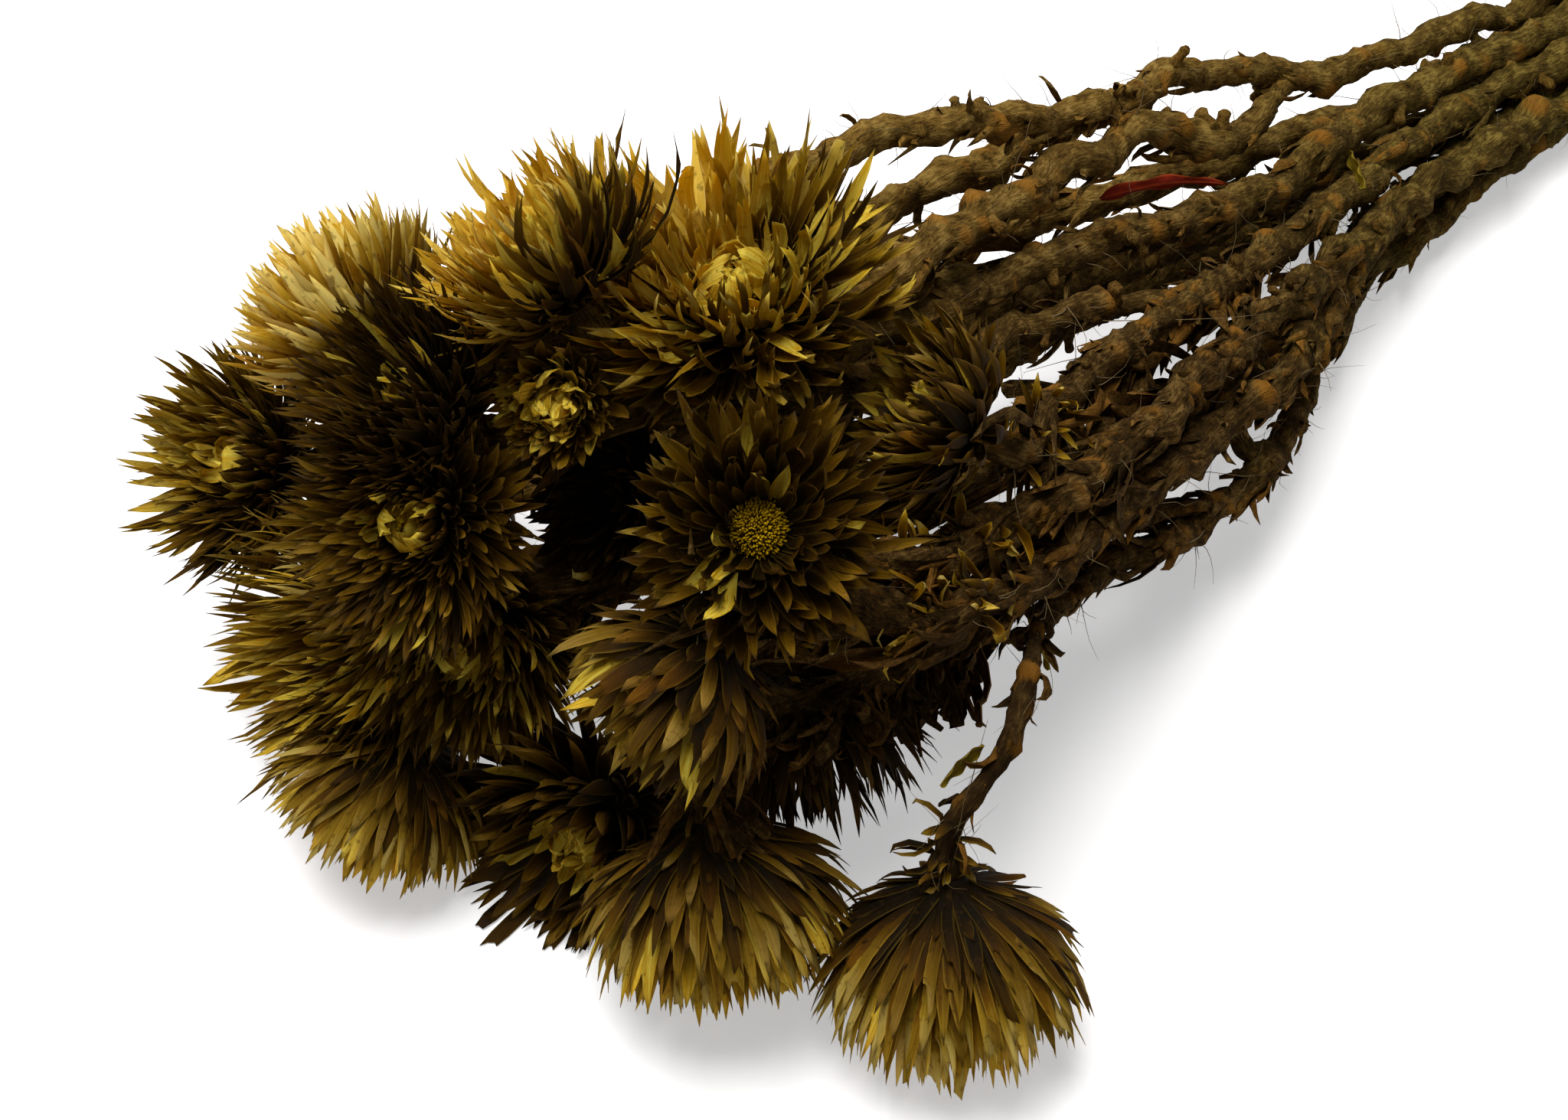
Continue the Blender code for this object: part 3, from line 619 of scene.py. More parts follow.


# %% [markdown]
# ## Twenty-one flowers
# No two heads are alike: some are wide open, some half shut, the pale one at the top is
# ragged, and those inside the bunch are painted dark, as painted shade. Each is described
# by how far its bracts reach, how open and untidy it is, how pale it is, partly as painted
# light on the side that faces the lamp, how broad its bracts are, how many crumpled golden
# ones stand round its middle, and how many tips are torn.
#
# Every bract is turned by the golden angle from the last, which is how the plant spaces
# them: no two stand exactly behind each other. Their feet climb a low cone, and their
# tips are spread over a dome, which gives the head its even, brush-like outline.

# %% Describe the heads
# reach: how far the bracts go, mm. tall: the dome's height against its width. open: 0 for
# half shut, 1 for wide open. mess: untidiness. pale, even, rise: how pale, which is partly
# the head's own bleaching and partly painted light for how much light the head gets; how
# much of that is the same all round rather than painted on the side that faces the lamp;
# and how much less pale the outer bracts are. wide: a bract's breadth, mm. gold: how many
# crumpled golden bracts. count: how many bracts. torn: the share with broken tips. bowl:
# how far the middle sinks. shine: the share of inner bracts that are golden.
Bloom = namedtuple(
    "Bloom", "reach tall open mess pale even rise wide gold count torn bowl shine")
BLOOMS = {
    "01": Bloom(20.0, 1.05, 0.35, 0.3, 1.00, 0.05, 0.0, 1.8, 0, 520, 0.05, 0.00, 0.10),
    "02": Bloom(22.0, 1.05, 0.65, 0.25, 0.34, 0.05, 0.0, 1.45, 16, 500, 0.05, 0.40, 0.10),
    "03": Bloom(22.0, 1.00, 0.85, 0.30, 0.08, 0.10, 0.0, 1.4, 22, 560, 0.05, 0.40, 0.03),
    "04": Bloom(20.0, 1.10, 0.50, 0.25, 0.05, 0.00, 0.0, 1.5, 8, 440, 0.05, 0.25, 0.03),
    "05": Bloom(22.0, 1.30, 0.60, 0.60, 1.00, 0.00, 0.0, 1.6, 44, 440, 0.7, 0.55, 0.5),
    "06": Bloom(28.5, 1.15, 0.75, 0.65, 1.00, 0.2, 0.0, 1.85, 46, 430, 0.8, 0.50, 0.4),
    "07": Bloom(10.5, 1.00, 0.40, 0.50, 0.30, 0.30, 0.0, 1.8, 30, 220, 0.15, 0.40, 0.25),
    "08": Bloom(20.5, 1.2, 0.9, 0.5, 0.1, 0.0, 0.0, 2.3, 0, 250, 0.2, 0.00, 0.03),
    "09": Bloom(18.0, 1.15, 0.55, 0.50, 0.16, 0.15, 0.0, 2.3, 12, 280, 0.10, 0.35, 0.10),
    "10": Bloom(19.0, 1.25, 0.45, 0.35, 0.28, 0.45, 0.8, 2.8, 8, 260, 0.4, 0.00, 0.08),
    "11": Bloom(22.5, 1.05, 0.65, 0.30, 0.30, 0.20, 0.0, 1.5, 24, 500, 0.05, 0.45, 0.12),
    "12": Bloom(28.0, 1.05, 0.55, 0.35, 0.40, 0.20, 0.0, 1.4, 16, 520, 0.05, 0.40, 0.20),
    "13": Bloom(21.5, 1.18, 0.45, 0.1, 0.9, 0.8, 1.0, 1.8, 20, 420, 0.05, 0.30, 0.65),
    "14": Bloom(28.0, 1.05, 0.75, 0.25, 0.08, 0.3, 0.0, 2.8, 40, 260, 0.3, 0.50, 0.04),
    "15": Bloom(24.5, 1.2, 0.45, 0.1, 0.75, 0.60, 1.0, 2.2, 30, 400, 0.3, 0.00, 0.5),
    "16": Bloom(25.0, 1.08, 0.04, 0.1, 0.85, 0.9, 1.0, 2.2, 0, 430, 0.6, 0.00, 0.12),
    "17": Bloom(11.0, 1.05, 0.50, 0.30, 0.03, 0.00, 0.0, 2.0, 0, 200, 0.05, 0.00, 0.00),
    "18": Bloom(15.0, 1.05, 0.50, 0.30, 0.03, 0.00, 0.0, 2.0, 0, 200, 0.05, 0.00, 0.00),
    "19": Bloom(22.0, 1.2, 0.50, 0.5, 0.02, 0.00, 0.0, 2.0, 0, 240, 0.6, 0.00, 0.00),
    "20": Bloom(18.5, 1.05, 0.50, 0.25, 0.25, 0.20, 0.0, 1.9, 0, 260, 0.05, 0.00, 0.05),
    "21": Bloom(10.0, 1.05, 0.50, 0.25, 0.15, 0.00, 0.0, 2.0, 0, 220, 0.05, 0.00, 0.00),
}

# %% From the outer bracts to the inner ones
# From the outermost bract, 0, to the innermost, 1: the angle of a tip from the head's
# axis, the dome's radius there and the bow of a bract, for shut and for open heads.
LEVEL = np.array([0.0, 0.08, 0.25, 0.5, 0.8, 1.0])
POLAR_SHUT = np.radians([112, 88, 66, 50, 34, 18])
POLAR_OPEN = np.radians([124, 102, 86, 70, 50, 30])
DOME_SHUT = np.array([0.42, 0.74, 1.0, 1.04, 1.0, 0.86])
DOME_OPEN = np.array([0.42, 0.70, 1.0, 0.98, 0.78, 0.55])
BOW = np.array([-0.3, 0.1, 0.42, 0.45, 0.35, 0.2])
BREADTH_AT = [0, 0.2, 0.7, 1.0]
BREADTH = [0.8, 1.05, 0.95, 0.7]
NECK = 3.0 * MM
SHOULDER, WIDEST = 0.27, 0.55
STRAYS, TIDY = 0.05, 0.1
SHINE_FROM, SHINE_WIDER = 0.42, 1.35
# A head no paler than DARK_HEAD, one inside the bunch, gets bract tones only up to DARK_TONE:
# painted shade.
DARK_HEAD, DARK_TONE = 0.07, 0.45
SLIM_BELOW = 2.1
# The side that faces the lamp: bracts that point towards it are painted paler, which is painted
# light.
PAINTED_LIGHT_SIDE = unit(np.array([-0.22, 0.97, 0.1]))


def fan(side, other, turn):
    """Unit directions at angles round an axis, from two directions square to it."""
    return np.cos(turn)[:, None] * side + np.sin(turn)[:, None] * other


def between(q, shut, opened, share):
    """A table read at q, mixed from its shut and open columns."""
    return np.interp(q, LEVEL, shut) * (1 - share) + np.interp(q, LEVEL, opened) * share


# %% One head
def flower(name, cup, bloom, heart):
    """All bracts of a head, and the solid base they grow from. heart is the radius and
    height of its cushion of florets. Feet: the base swells with a quarter sine to the
    shoulder, then draws in to the heart. Tips: the dome's radius at the bract's level,
    times the sine and cosine of its angle from the axis. A bract that points to the side
    that faces the lamp is painted paler, which is painted light: one share of the head's
    paleness, called even, is the same all round, and the rest goes with the cosine of the
    bract's angle from that side. On a head that hangs, the outer bracts lose the share
    called rise of that paleness and are darker. The last few bracts are broad, crumpled and
    golden."""
    rng = draws(name)
    n = bloom.count
    q = (np.arange(n) + 0.5) / n
    full = bloom.reach * MM

    def spread(size):
        return rng.normal(0.0, size, n)

    shoulder = SHOULDER * full
    swelling = np.sin(np.minimum(q / WIDEST, 1) * math.pi / 2)
    closing = np.clip((q - WIDEST) / (1 - WIDEST), 0, 1) ** 1.5
    base_height = heart[1] * q ** 0.8
    base_radius = NECK + (shoulder - NECK) * swelling + (heart[0] - shoulder) * closing
    polar = between(q, POLAR_SHUT, POLAR_OPEN, bloom.open) + spread(0.045 + 0.16 * bloom.mess)
    dome = full * between(q, DOME_SHUT, DOME_OPEN, bloom.open)
    dome = dome * (1 - bloom.bowl * np.clip((q - 0.35) / 0.65, 0, 1) ** 1.2)
    dome = dome * np.exp(spread(0.03 + 0.07 * bloom.mess))
    stray = np.where(rng.random(n) < STRAYS, rng.uniform(1.05, 1.25, n), 1.0)
    dome = dome * (stray if bloom.mess > TIDY else 1.0)
    turn = np.arange(n) * GOLDEN + spread(0.05)
    wide = bloom.wide * MM * np.interp(q, BREADTH_AT, BREADTH)
    bow = np.interp(q, LEVEL, BOW) + spread(0.08 + 0.3 * bloom.mess)
    twist = spread(0.22 + 0.5 * bloom.mess)
    foot = np.stack([base_radius, base_height], -1)
    ahead = np.cos(polar) * np.where(polar < math.pi / 2, bloom.tall, 1.0)
    tip = np.stack([dome * np.sin(polar), 0.35 * cup.depth + dome * ahead], -1)
    torn = rng.random(n) < bloom.torn
    gold = np.zeros(n)
    if bloom.gold:
        last = np.arange(n) >= n - bloom.gold
        gold = np.where(last, rng.uniform(0.6, 1.0, n), gold)
        crumpled = np.stack([heart[0] * rng.uniform(0.3, 1.1, n),
                             np.full(n, heart[1] - 0.5 * MM)], -1)
        over = np.stack([heart[0] * rng.uniform(-0.2, 1.6, n),
                         heart[1] + rng.uniform(2.5, 7.5, n) * MM], -1)
        foot = np.where(last[:, None], crumpled, foot)
        tip = np.where(last[:, None], over, tip)
        wide = np.where(last, rng.uniform(2.2, 4.4, n) * MM, wide)
        bow = np.where(last, rng.uniform(-0.1, 1.4, n), bow)
        twist = np.where(last, spread(1.0), twist)
        torn = torn | (last & (rng.random(n) < 0.6))
    chord = np.arctan2(tip[:, 1] - foot[:, 1], tip[:, 0] - foot[:, 0])
    out = fan(cup.side, np.cross(cup.axis, cup.side), turn)
    points = unit(out * tip[:, :1] + cup.axis * tip[:, 1:])
    # Painted light: bracts that point to the side that faces the lamp are paler; on a hanging
    # head the outer bracts less so.
    painted_sunlight = bloom.even + (1 - bloom.even) * np.clip(0.06 + 1.35 * (points @ PAINTED_LIGHT_SIDE), 0, 1)
    painted_sunlight = painted_sunlight * (1 - bloom.rise + bloom.rise * np.clip(q * 1.7 - 0.15, 0, 1))
    shining = (q > SHINE_FROM) & (rng.random(n) < bloom.shine)
    gold = np.where(shining, np.maximum(gold, rng.uniform(0.3, 0.9, n)), gold)
    wide = np.where(shining, wide * SHINE_WIDER, wide)
    blades = plain_blades(
        rng, n, origin=np.broadcast_to(cup.neck, (n, 3)), foot=foot, tip=tip, out=out,
        up=np.broadcast_to(cup.axis, (n, 3)), start=chord - bow, finish=chord + 0.8 * bow,
        wide=wide * np.exp(spread(0.2)), twist=twist, drift=spread(0.04 + 0.1 * bloom.mess),
        wave=spread(0.01 + 0.03 * bloom.mess),
        notch=np.where(torn, rng.uniform(0.0, 0.2, n), 0.0),
        slant=np.where(torn, rng.uniform(0.0, 0.3, n), 0.0),
        blunt=np.where(torn, rng.uniform(0.25, 0.75, n), 0.0),
        taper=np.where(torn, rng.uniform(0.6, 0.85, n), 0.66),
        root=np.where(torn, 0.8, 0.6),
        tone=rng.random(n) * (1.0 if bloom.pale > DARK_HEAD else DARK_TONE),
        pale=np.clip(bloom.pale * painted_sunlight + spread(0.03 + 0.07 * bloom.pale), 0, 1), gold=gold)
    rings, marks = blade_rings(blades, section=SLIM if bloom.wide < SLIM_BELOW else BROAD)
    parts = [closed_tubes(off_table(rings), marks)]
    steps = np.linspace(0, n - 1, 9).astype(int)
    profile = ([(NECK * 0.9, -0.4 * MM)]
               + [(base_radius[i] * 0.97, base_height[i] + 0.3 * MM) for i in steps]
               + [(base_radius[-1] * 0.5, base_height[-1] + 1.0 * MM)])
    core = turned(profile)
    parts.append(closed_tubes(in_place(core, cup), {
        "pale": np.full(core.shape[:3], 0.0), "tone": np.full(core.shape[:3], 0.2)}))
    return gathered(parts)


# %% Grow the heads
def heart_of(head, cup, bloom):
    """Radius and height of a head's florets: its CAD disc's, or a small one."""
    if "disc_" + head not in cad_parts:
        return 0.12 * bloom.reach * MM, 0.42 * cup.depth
    spots, _ = welded("disc_" + head)
    along = (spots - cup.neck) @ cup.axis
    off = np.linalg.norm(spots - cup.neck - along[:, None] * cup.axis, axis=1)
    return off.max(), along.min()


hearts = {}
for head, bloom in BLOOMS.items():
    cup = cups[head]
    hearts[head] = heart_of(head, cup, bloom)
    add_piece("flower_" + head, flower("flower_" + head, cup, bloom, hearts[head]),
              bract, "bract", "head_" + head)
print("bracts:", sum(b.count for b in BLOOMS.values()), "on", len(BLOOMS), "heads")
count_pieces("flower")

# %% [markdown]
# ## Cushions of florets
# In the middle of an open head stands a cushion of tiny tubular florets. Seen close it is
# a fuzzy golden button. A low dome carries a sunflower spiral of short blunt tubes.

# %% Floret finish
def floret_finish():
    material, s = new_finish("dried_floret")
    along, tone = s.mark("along"), s.mark("tone")
    body = (along * 0.75 + tone * 0.35 - 0.05).clamped()
    colour = body.ramp((0.0, 96, 62, 1), (0.45, 142, 106, 3), (0.8, 184, 148, 6),
                       (1.0, 218, 184, 26))
    put_on(s, s.surface(colour, 0.8, 0.05))
    return material


floret = floret_finish()

# %% Cushions
# A floret's thickness suits this many of them. With more, each is thinner.
FEW_FLORETS = 170
SKEW = [0.31, 0.17, -0.9]
DOME_RISE = 0.65
DOME_PROFILE = ((0.6, -0.3), (1.0, -0.1), (1.0, 0.05), (0.8, 0.36), (0.5, 0.75), (0.15, 0.97))
FLORETS, FLORETS_UNDER_GOLD = 520, 90


def cushion(name, cup, heart, count):
    """Florets on a dome. Floret i stands at radius root(i / count) and at i golden
    angles; it leans outwards as the dome's surface does."""
    rng = draws(name)
    radius, floor = heart
    rise = DOME_RISE * radius
    share = np.sqrt((np.arange(count) + 0.5) / count)
    turn = np.arange(count) * GOLDEN
    r = share * radius * 0.93
    z = floor + rise * (1 - share ** 2)
    out = np.stack([np.cos(turn), np.sin(turn), 0 * turn], axis=-1)
    foot = out * r[:, None] + np.array([0, 0, 1.0]) * z[:, None]
    way = unit(out * (0.9 * share)[:, None] + np.array([0, 0, 1.0])
               + rng.normal(0, 0.14, (count, 3)))
    side = unit(np.cross(way, SKEW))
    other = np.cross(way, side)
    long = rng.uniform(1.0, 2.1, count) * MM * (0.75 + 0.25 * share)
    thick = rng.uniform(0.2, 0.36, count) * MM * math.sqrt(FEW_FLORETS / count)
    s = np.array([-0.3, 0.55, 0.9, 1.0])
    fat = np.array([0.8, 0.9, 1.1, 0.45])
    middle = foot[:, None] + way[:, None] * (s[None] * long[:, None])[..., None]
    spoke = spokes(side, other, 5)[:, None]
    rings = middle[:, :, None] + spoke * (thick[:, None, None] * fat[:, None])[..., None]
    tone = rng.random(count) * (1.0 - 0.9 * share ** 3)
    marks = {"along": np.broadcast_to(np.clip(s, 0, 1)[None, :, None], rings.shape[:3]),
             "tone": np.broadcast_to(tone[:, None, None], rings.shape[:3])}
    dome = turned([(radius * f, floor + h * rise) for f, h in DOME_PROFILE])
    return gathered([closed_tubes(in_place(rings, cup), marks),
                     closed_tubes(in_place(dome, cup), {"along": np.full(dome.shape[:3], 0.4)})])


for head, bloom in BLOOMS.items():
    if "disc_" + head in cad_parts:
        wide, floor = hearts[head]
        heart = (wide * 0.6, floor - 0.5 * MM) if bloom.gold else (wide, floor)
        part = cushion("florets_" + head, cups[head], heart,
                       FLORETS_UNDER_GOLD if bloom.gold else FLORETS)
        add_piece("florets_" + head, part, floret, "floret", "disc_" + head)
count_pieces("florets")

# %% [markdown]
# ## Stems
# The plant sheds its leaves as it grows, and each leaves a raised scar, set on the same
# golden spiral as the bracts. Grey-brown felt covers the stem and is worn to olive bark
# near the cut end. The stem is a round tube along the CAD's line, and its radius rises
# over every scar.

# %% Even steps along a stem
STEM_SIDES = 16
STEM_STEP = 1.2 * MM


def resampled(points, radii, step):
    """A line through the points with even steps, smoothed between them: each coordinate
    is a cubic Hermite curve of the length run, with the slopes between neighbours."""
    run = np.concatenate([[0], np.cumsum(np.linalg.norm(np.diff(points, axis=0), axis=1))])
    count = max(4, int(round(run[-1] / step)) + 1)
    at = np.linspace(0, run[-1], count)
    both = np.column_stack([points, radii])
    slope = np.gradient(both, run, axis=0)
    k = np.clip(np.searchsorted(run, at, side="right") - 1, 0, len(run) - 2)
    gap = (run[k + 1] - run[k])[:, None]
    t = ((at - run[k]) / gap[:, 0])[:, None]
    value = ((2 * t ** 3 - 3 * t ** 2 + 1) * both[k] + (t ** 3 - 2 * t ** 2 + t) * gap * slope[k]
             + (3 * t ** 2 - 2 * t ** 3) * both[k + 1] + (t ** 3 - t ** 2) * gap * slope[k + 1])
    return value[:, :3], value[:, 3], at


def carried(line):
    """Two directions square to a line at each of its points, turning as little as the
    line allows: each is the last one with its part along the line taken out."""
    way = unit(np.gradient(line, axis=0))
    side = across(way[0])[0]
    sides = []
    for w in way:
        side = unit(side - (side @ w) * w)
        sides.append(side)
    sides = np.array(sides)
    return way, sides, np.cross(way, sides)


# %% Knobbly bark
WAVES = 4


def wavy(rng, at, wavelength):
    """A smooth random wave of about unit size along a length: a sum of sines."""
    k = 2 * math.pi / (wavelength * rng.uniform(0.6, 1.7, WAVES))
    p = rng.uniform(0, FULL_TURN, WAVES)
    return np.sin(at[..., None] * k + p).sum(-1) * math.sqrt(2 / WAVES)


FELT_OVER_CAD = 1.18 * 0.94
SLOW = 0.24
SCAR_TIPWARD, SCAR_FOOTWARD = 0.9, 2.2
NECK_RUN = 9 * MM
END_RUN = 8 * MM


def bark_rings(rng, points, radii):
    """A knobbly tube. Radius: the line's own, plus broad lumps, plus the tallest of the
    scars nearby. Scar i sits at i pitches along and i golden angles round; its height
    falls off with the squared distance from it, and more steeply on the tip side."""
    line, radius, at = resampled(points, radii, STEM_STEP)
    way, side, other = carried(line)
    angle = bearings(STEM_SIDES)
    pitch = rng.uniform(2.6, 3.6) * MM
    total = int(at[-1] / pitch) + 14
    spot = (np.arange(total) - 6 + rng.normal(0, 0.5, total)) * pitch
    turn = np.arange(total) * GOLDEN + rng.normal(0, 0.5, total)
    high = rng.gamma(1.6, 0.42, total) * MM
    short, broad = rng.uniform(0.8, 1.5, (2, total))
    near = np.clip((at / pitch).astype(int)[:, None] + np.arange(2, 11), 0, total - 1)
    down = (at[:, None] - spot[near]) / (short[near] * MM)
    down = np.where(down > 0, down / SCAR_TIPWARD, down / SCAR_FOOTWARD)
    apart = (angle[None, :, None] - turn[near][:, None] + math.pi) % (2 * math.pi) - math.pi
    apart = apart * radius[:, None, None] / (1.7 * broad[near][:, None] * MM)
    bump = (high[near][:, None] * np.exp(-down[:, None] ** 2 - apart ** 2)).max(-1)
    round_about = 9 * MM * np.stack([np.cos(angle), np.sin(angle)])
    lumps = (0.09 * wavy(rng, at, 24 * MM)[:, None]
             + 0.07 * wavy(rng, at[:, None] + round_about[0], 13 * MM)
             + 0.06 * wavy(rng, at[:, None] + round_about[1], 8 * MM)
             + 0.03 * wavy(rng, at[:, None] * 0.8 - round_about[0], 3.5 * MM))
    grown = radius[:, None] * (FELT_OVER_CAD + lumps) + bump
    grown = grown + rng.normal(0, 0.1 * MM, grown.shape)
    wander = (wavy(rng, at, 26 * MM) * 0.5 * MM)[:, None] * side
    wander += (wavy(rng, at, 19 * MM) * 0.5 * MM)[:, None] * other
    ends = np.minimum(at, at[-1] - at)
    line = line + wander * np.clip(ends / END_RUN, 0, 1)[:, None]
    neck = np.clip((at[-1] - at) / NECK_RUN, 0, 1)[:, None]
    grown = grown * neck + (radius[:, None] * 1.02 + 0.3 * bump) * (1 - neck)
    rings = line[:, None] + spokes(side, other, STEM_SIDES) * grown[..., None]
    section = radius[:, None] * np.stack([np.cos(angle)[None], np.sin(angle)[None]], 0)
    run = np.broadcast_to(at[:, None], bump.shape)
    marks = {"scar": np.clip(bump / (0.9 * MM), 0, 1),
             "grain": np.stack([section[0], section[1], run * SLOW], -1)}
    return rings[None], marks, (line, grown.mean(1), way, side, other, at)


# %% Where a branch starts
SEARCH_STEP = 1.5 * MM
STEPS_BACK = 5


def joined_start(name):
    """A branch's own line, started inside the stem it leaves: a point near the parent's
    middle comes first, so that the felt runs on without a gap."""
    points, radii = lines[name]
    if not name.startswith("branch"):
        return points, radii
    near = []
    for stem, (others, _) in lines.items():
        if stem != name:
            dense = resampled(others, others[:, 0] * 0, SEARCH_STEP)[0]
            gaps = np.linalg.norm(dense - points[0], axis=1)
            near.append((gaps.min(), stem, dense[max(int(gaps.argmin()) - STEPS_BACK, 0)]))
    gap, stem, behind = min(near, key=lambda found: found[0])
    print(f"{name} leaves {stem}, {1000 * gap:.1f} mm from its middle")
    start = behind * 0.75 + points[0] * 0.25
    return np.vstack([start, points]), np.concatenate([[radii[0] * 0.8], radii])


# %% [markdown]
# ## The finish of felted stems
# Felt is a matte tangle of hairs: brown grey with ochre where the scars break through,
# turning olive green towards the tie. It is painted lighter on the far upper side, which is
# painted light, and darker on the near side, which is painted shade. The hairs lie along
# the stem, so the noise that draws them reads a mark that runs slowly along a stem and
# quickly round it.

# %% Stem finish
PAINTED_SHADE_BROWN = srgb(38, 25, 11)
OCHRE = srgb(146, 97, 32)


def felt_finish():
    material, s = new_finish("felted_stem")
    scar = s.mark("scar")
    where = s.place()
    x, y, z = where.part("X"), where.part("Y"), where.part("Z")
    broad, middle = s.noise(where, 62.0, 2.0), s.noise(where, 300.0, 3.0, 0.6)
    fibres = s.noise(s.mark("grain", vector=True), 2600.0, 3.0, 0.65)
    foot = (x * 7.0 + broad * 1.2 - 0.35).rising(0.0, 1.0)
    patch = (middle * 0.55 + fibres * 0.48 - 0.015).clamped()
    brown = patch.ramp((0.34, 20, 14, 5), (0.5, 66, 47, 20), (0.68, 126, 98, 52))
    olive = patch.ramp((0.34, 30, 23, 8), (0.5, 84, 67, 27), (0.68, 146, 124, 58))
    painted_lit_felt = patch.ramp((0.34, 46, 31, 9), (0.5, 126, 96, 42), (0.68, 184, 152, 80))
    # Painted light: the far upper side of the stems is lighter.
    painted_sunlight = (y + z * 0.4 + broad * 0.03).rising(0.02, 0.08)
    colour = s.blend(foot, brown, olive)
    colour = s.blend(painted_sunlight * 0.8, colour, painted_lit_felt)
    # Painted shade: the near side of the stems is darker.
    painted_shade_mask = (0 - y).rising(0.036, 0.052)
    colour = s.blend(painted_shade_mask * 0.75, colour, PAINTED_SHADE_BROWN)
    ochre = (scar * 0.8 + fibres * 0.9 - 0.5).rising(0.1, 0.8) * broad.rising(0.3, 0.6)
    colour = s.blend(ochre * 0.75, colour, OCHRE)
    tangle = s.bump(fibres * 1.1 + middle * 0.7, 1.0, 0.5 * MM)
    put_on(s, s.surface(colour, 0.95, 0.04, tangle))
    return material


felt = felt_finish()

# %% [markdown]
# ## Dead leaves, stubs and wool
# What makes the stems look old is what clings to them: leaves that withered in place and
# lie curled along the felt, stubs of snapped side shoots, and tufts of wool drawn out
# into single threads. The leaves are blades again, set on the stem's surface; a stub is a
# short blunt tube; a thread is a three-sided tube along a bent line.
#
# What hangs under the outer stems is shorter and blunter than what fills the gaps
# between the inner ones. The stems at the top of the bunch are almost bare.

# %% Leaves that cling to a stem
SHORT_STATIONS = np.array([0.0, 0.25, 0.55, 0.82, 1.0])
SUNK = 0.86
LEAFLESS_FOOT = 0.9


def on_stem(track, at, angle):
    """Places on a stem's surface: the point, the way out of it and the way to the tip."""
    line, radius, way, side, other, run = track
    k = np.clip(np.searchsorted(run, at), 1, len(run) - 2)
    out = fan(side[k], other[k], angle)
    return line[k] + out * radius[k][:, None] * SUNK, out, way[k]


def clinging(rng, track, n, span, long, wide, lean, curl, toward=None, **looks):
    """n curled blades on a stem. Span is their nearest and farthest distance from its
    tip, long and wide the least and most of each, all in millimetres. Each leaves the
    surface at an angle of lean from the stem's direction and curls by up to curl. They
    stand all round the stem, or on the side that faces toward."""
    run = track[5]
    nearest, farthest = span[0] * MM, min(span[1] * MM, run[-1] * LEAFLESS_FOOT)
    at = run[-1] - rng.uniform(nearest, farthest, n)
    angle = rng.uniform(0, 2 * math.pi, n)
    if toward is not None:
        k = np.clip(np.searchsorted(run, at), 1, len(run) - 2)
        angle = np.arctan2(track[4][k] @ toward, track[3][k] @ toward) + rng.normal(0, 0.5, n)
    origin, out, up = on_stem(track, at, angle)
    leaning = rng.uniform(*lean, n)
    length = rng.uniform(*long, n) * MM
    tip = np.stack([length * np.sin(leaning), length * np.cos(leaning)], -1)
    chord = np.pi / 2 - leaning
    bow = rng.normal(0, curl, n)
    b = plain_blades(rng, n, origin=origin, out=out, up=up, foot=np.zeros((n, 2)), tip=tip,
                     start=chord - bow, finish=chord + 1.3 * bow,
                     wide=rng.uniform(*wide, n) * MM,
                     twist=rng.normal(0, 0.9, n), drift=rng.normal(0, 0.2, n),
                     fold=rng.uniform(0.2, 1.3, n), thick=np.full(n, 0.35 * MM), **looks)
    rings, marks = blade_rings(b, SHORT_STATIONS)
    if "pale" not in looks:
        marks["scar"] = marks["tone"] * 0.8
        marks["grain"] = marks["grain"] * np.array([1.0, SLOW, 1.0])
    return closed_tubes(off_table(rings), marks)


# %% Stubs
STUB_SIDES = 7


def stubs(rng, track, n):
    """Snapped side shoots: short blunt tubes that lean towards the tip. Radius along one:
    1.7 at its foot, 1 in the middle, 1.15 under a ragged end."""
    run = track[5]
    at = rng.uniform(0.12, 0.92, n) * run[-1]
    origin, out, up = on_stem(track, at, rng.uniform(0, 2 * math.pi, n))
    way = unit(out + up * rng.uniform(0.0, 1.2, n)[:, None])
    side = unit(np.cross(way, up + 0.1 * out + 1e-3))
    other = np.cross(way, side)
    s = np.array([-0.2, 0.15, 0.5, 0.85, 1.0])
    fat = np.array([1.7, 1.35, 1.0, 1.15, 0.75])
    length = rng.uniform(1.2, 4.2, n) * MM
    thick = rng.uniform(0.7, 1.25, n) * MM
    ragged = 1 + rng.normal(0, 0.1, (n, len(s), STUB_SIDES))
    line = origin[:, None] + way[:, None] * (s * length[:, None])[..., None]
    swell = (thick[:, None, None] * fat[:, None] * ragged)[..., None]
    rings = line[:, :, None] + spokes(side, other, STUB_SIDES)[:, None] * swell
    return closed_tubes(off_table(rings), {"scar": np.full(rings.shape[:3], 0.45),
                                           "grain": rings * np.array([1.0, 1.0, 0.4])})


# %% Threads
THREAD_SIDES = 3
THREAD_SKEW = [0.36, -0.21, 0.91]


def threads(rng, origins, ways, long, thick, bend, stations):
    """Fine fibres. Each runs from its origin along its way: the line is its length times
    the way times the place s, plus a random pull times s squared and a slow wave. It
    thins to a quarter at its tip."""
    n = len(origins)
    s = np.linspace(0, 1, stations)[None, :, None]
    pull = rng.normal(0, bend, (n, 1, 3))
    wave = rng.normal(0, bend * 0.25, (n, 1, 3)) * np.sin(6 * s + rng.uniform(0, 6, (n, 1, 1)))
    line = origins[:, None] + long[:, None, None] * (ways[:, None] * s + pull * s ** 2 + wave * s)
    way = unit(np.gradient(line, axis=1))
    side = unit(np.cross(way, THREAD_SKEW))
    spoke = spokes(side, np.cross(way, side), THREAD_SIDES)
    fat = thick[:, None, None, None] * (1.0 - 0.75 * s[..., None])
    return closed_tubes(off_table(line[:, :, None] + spoke * fat), {})


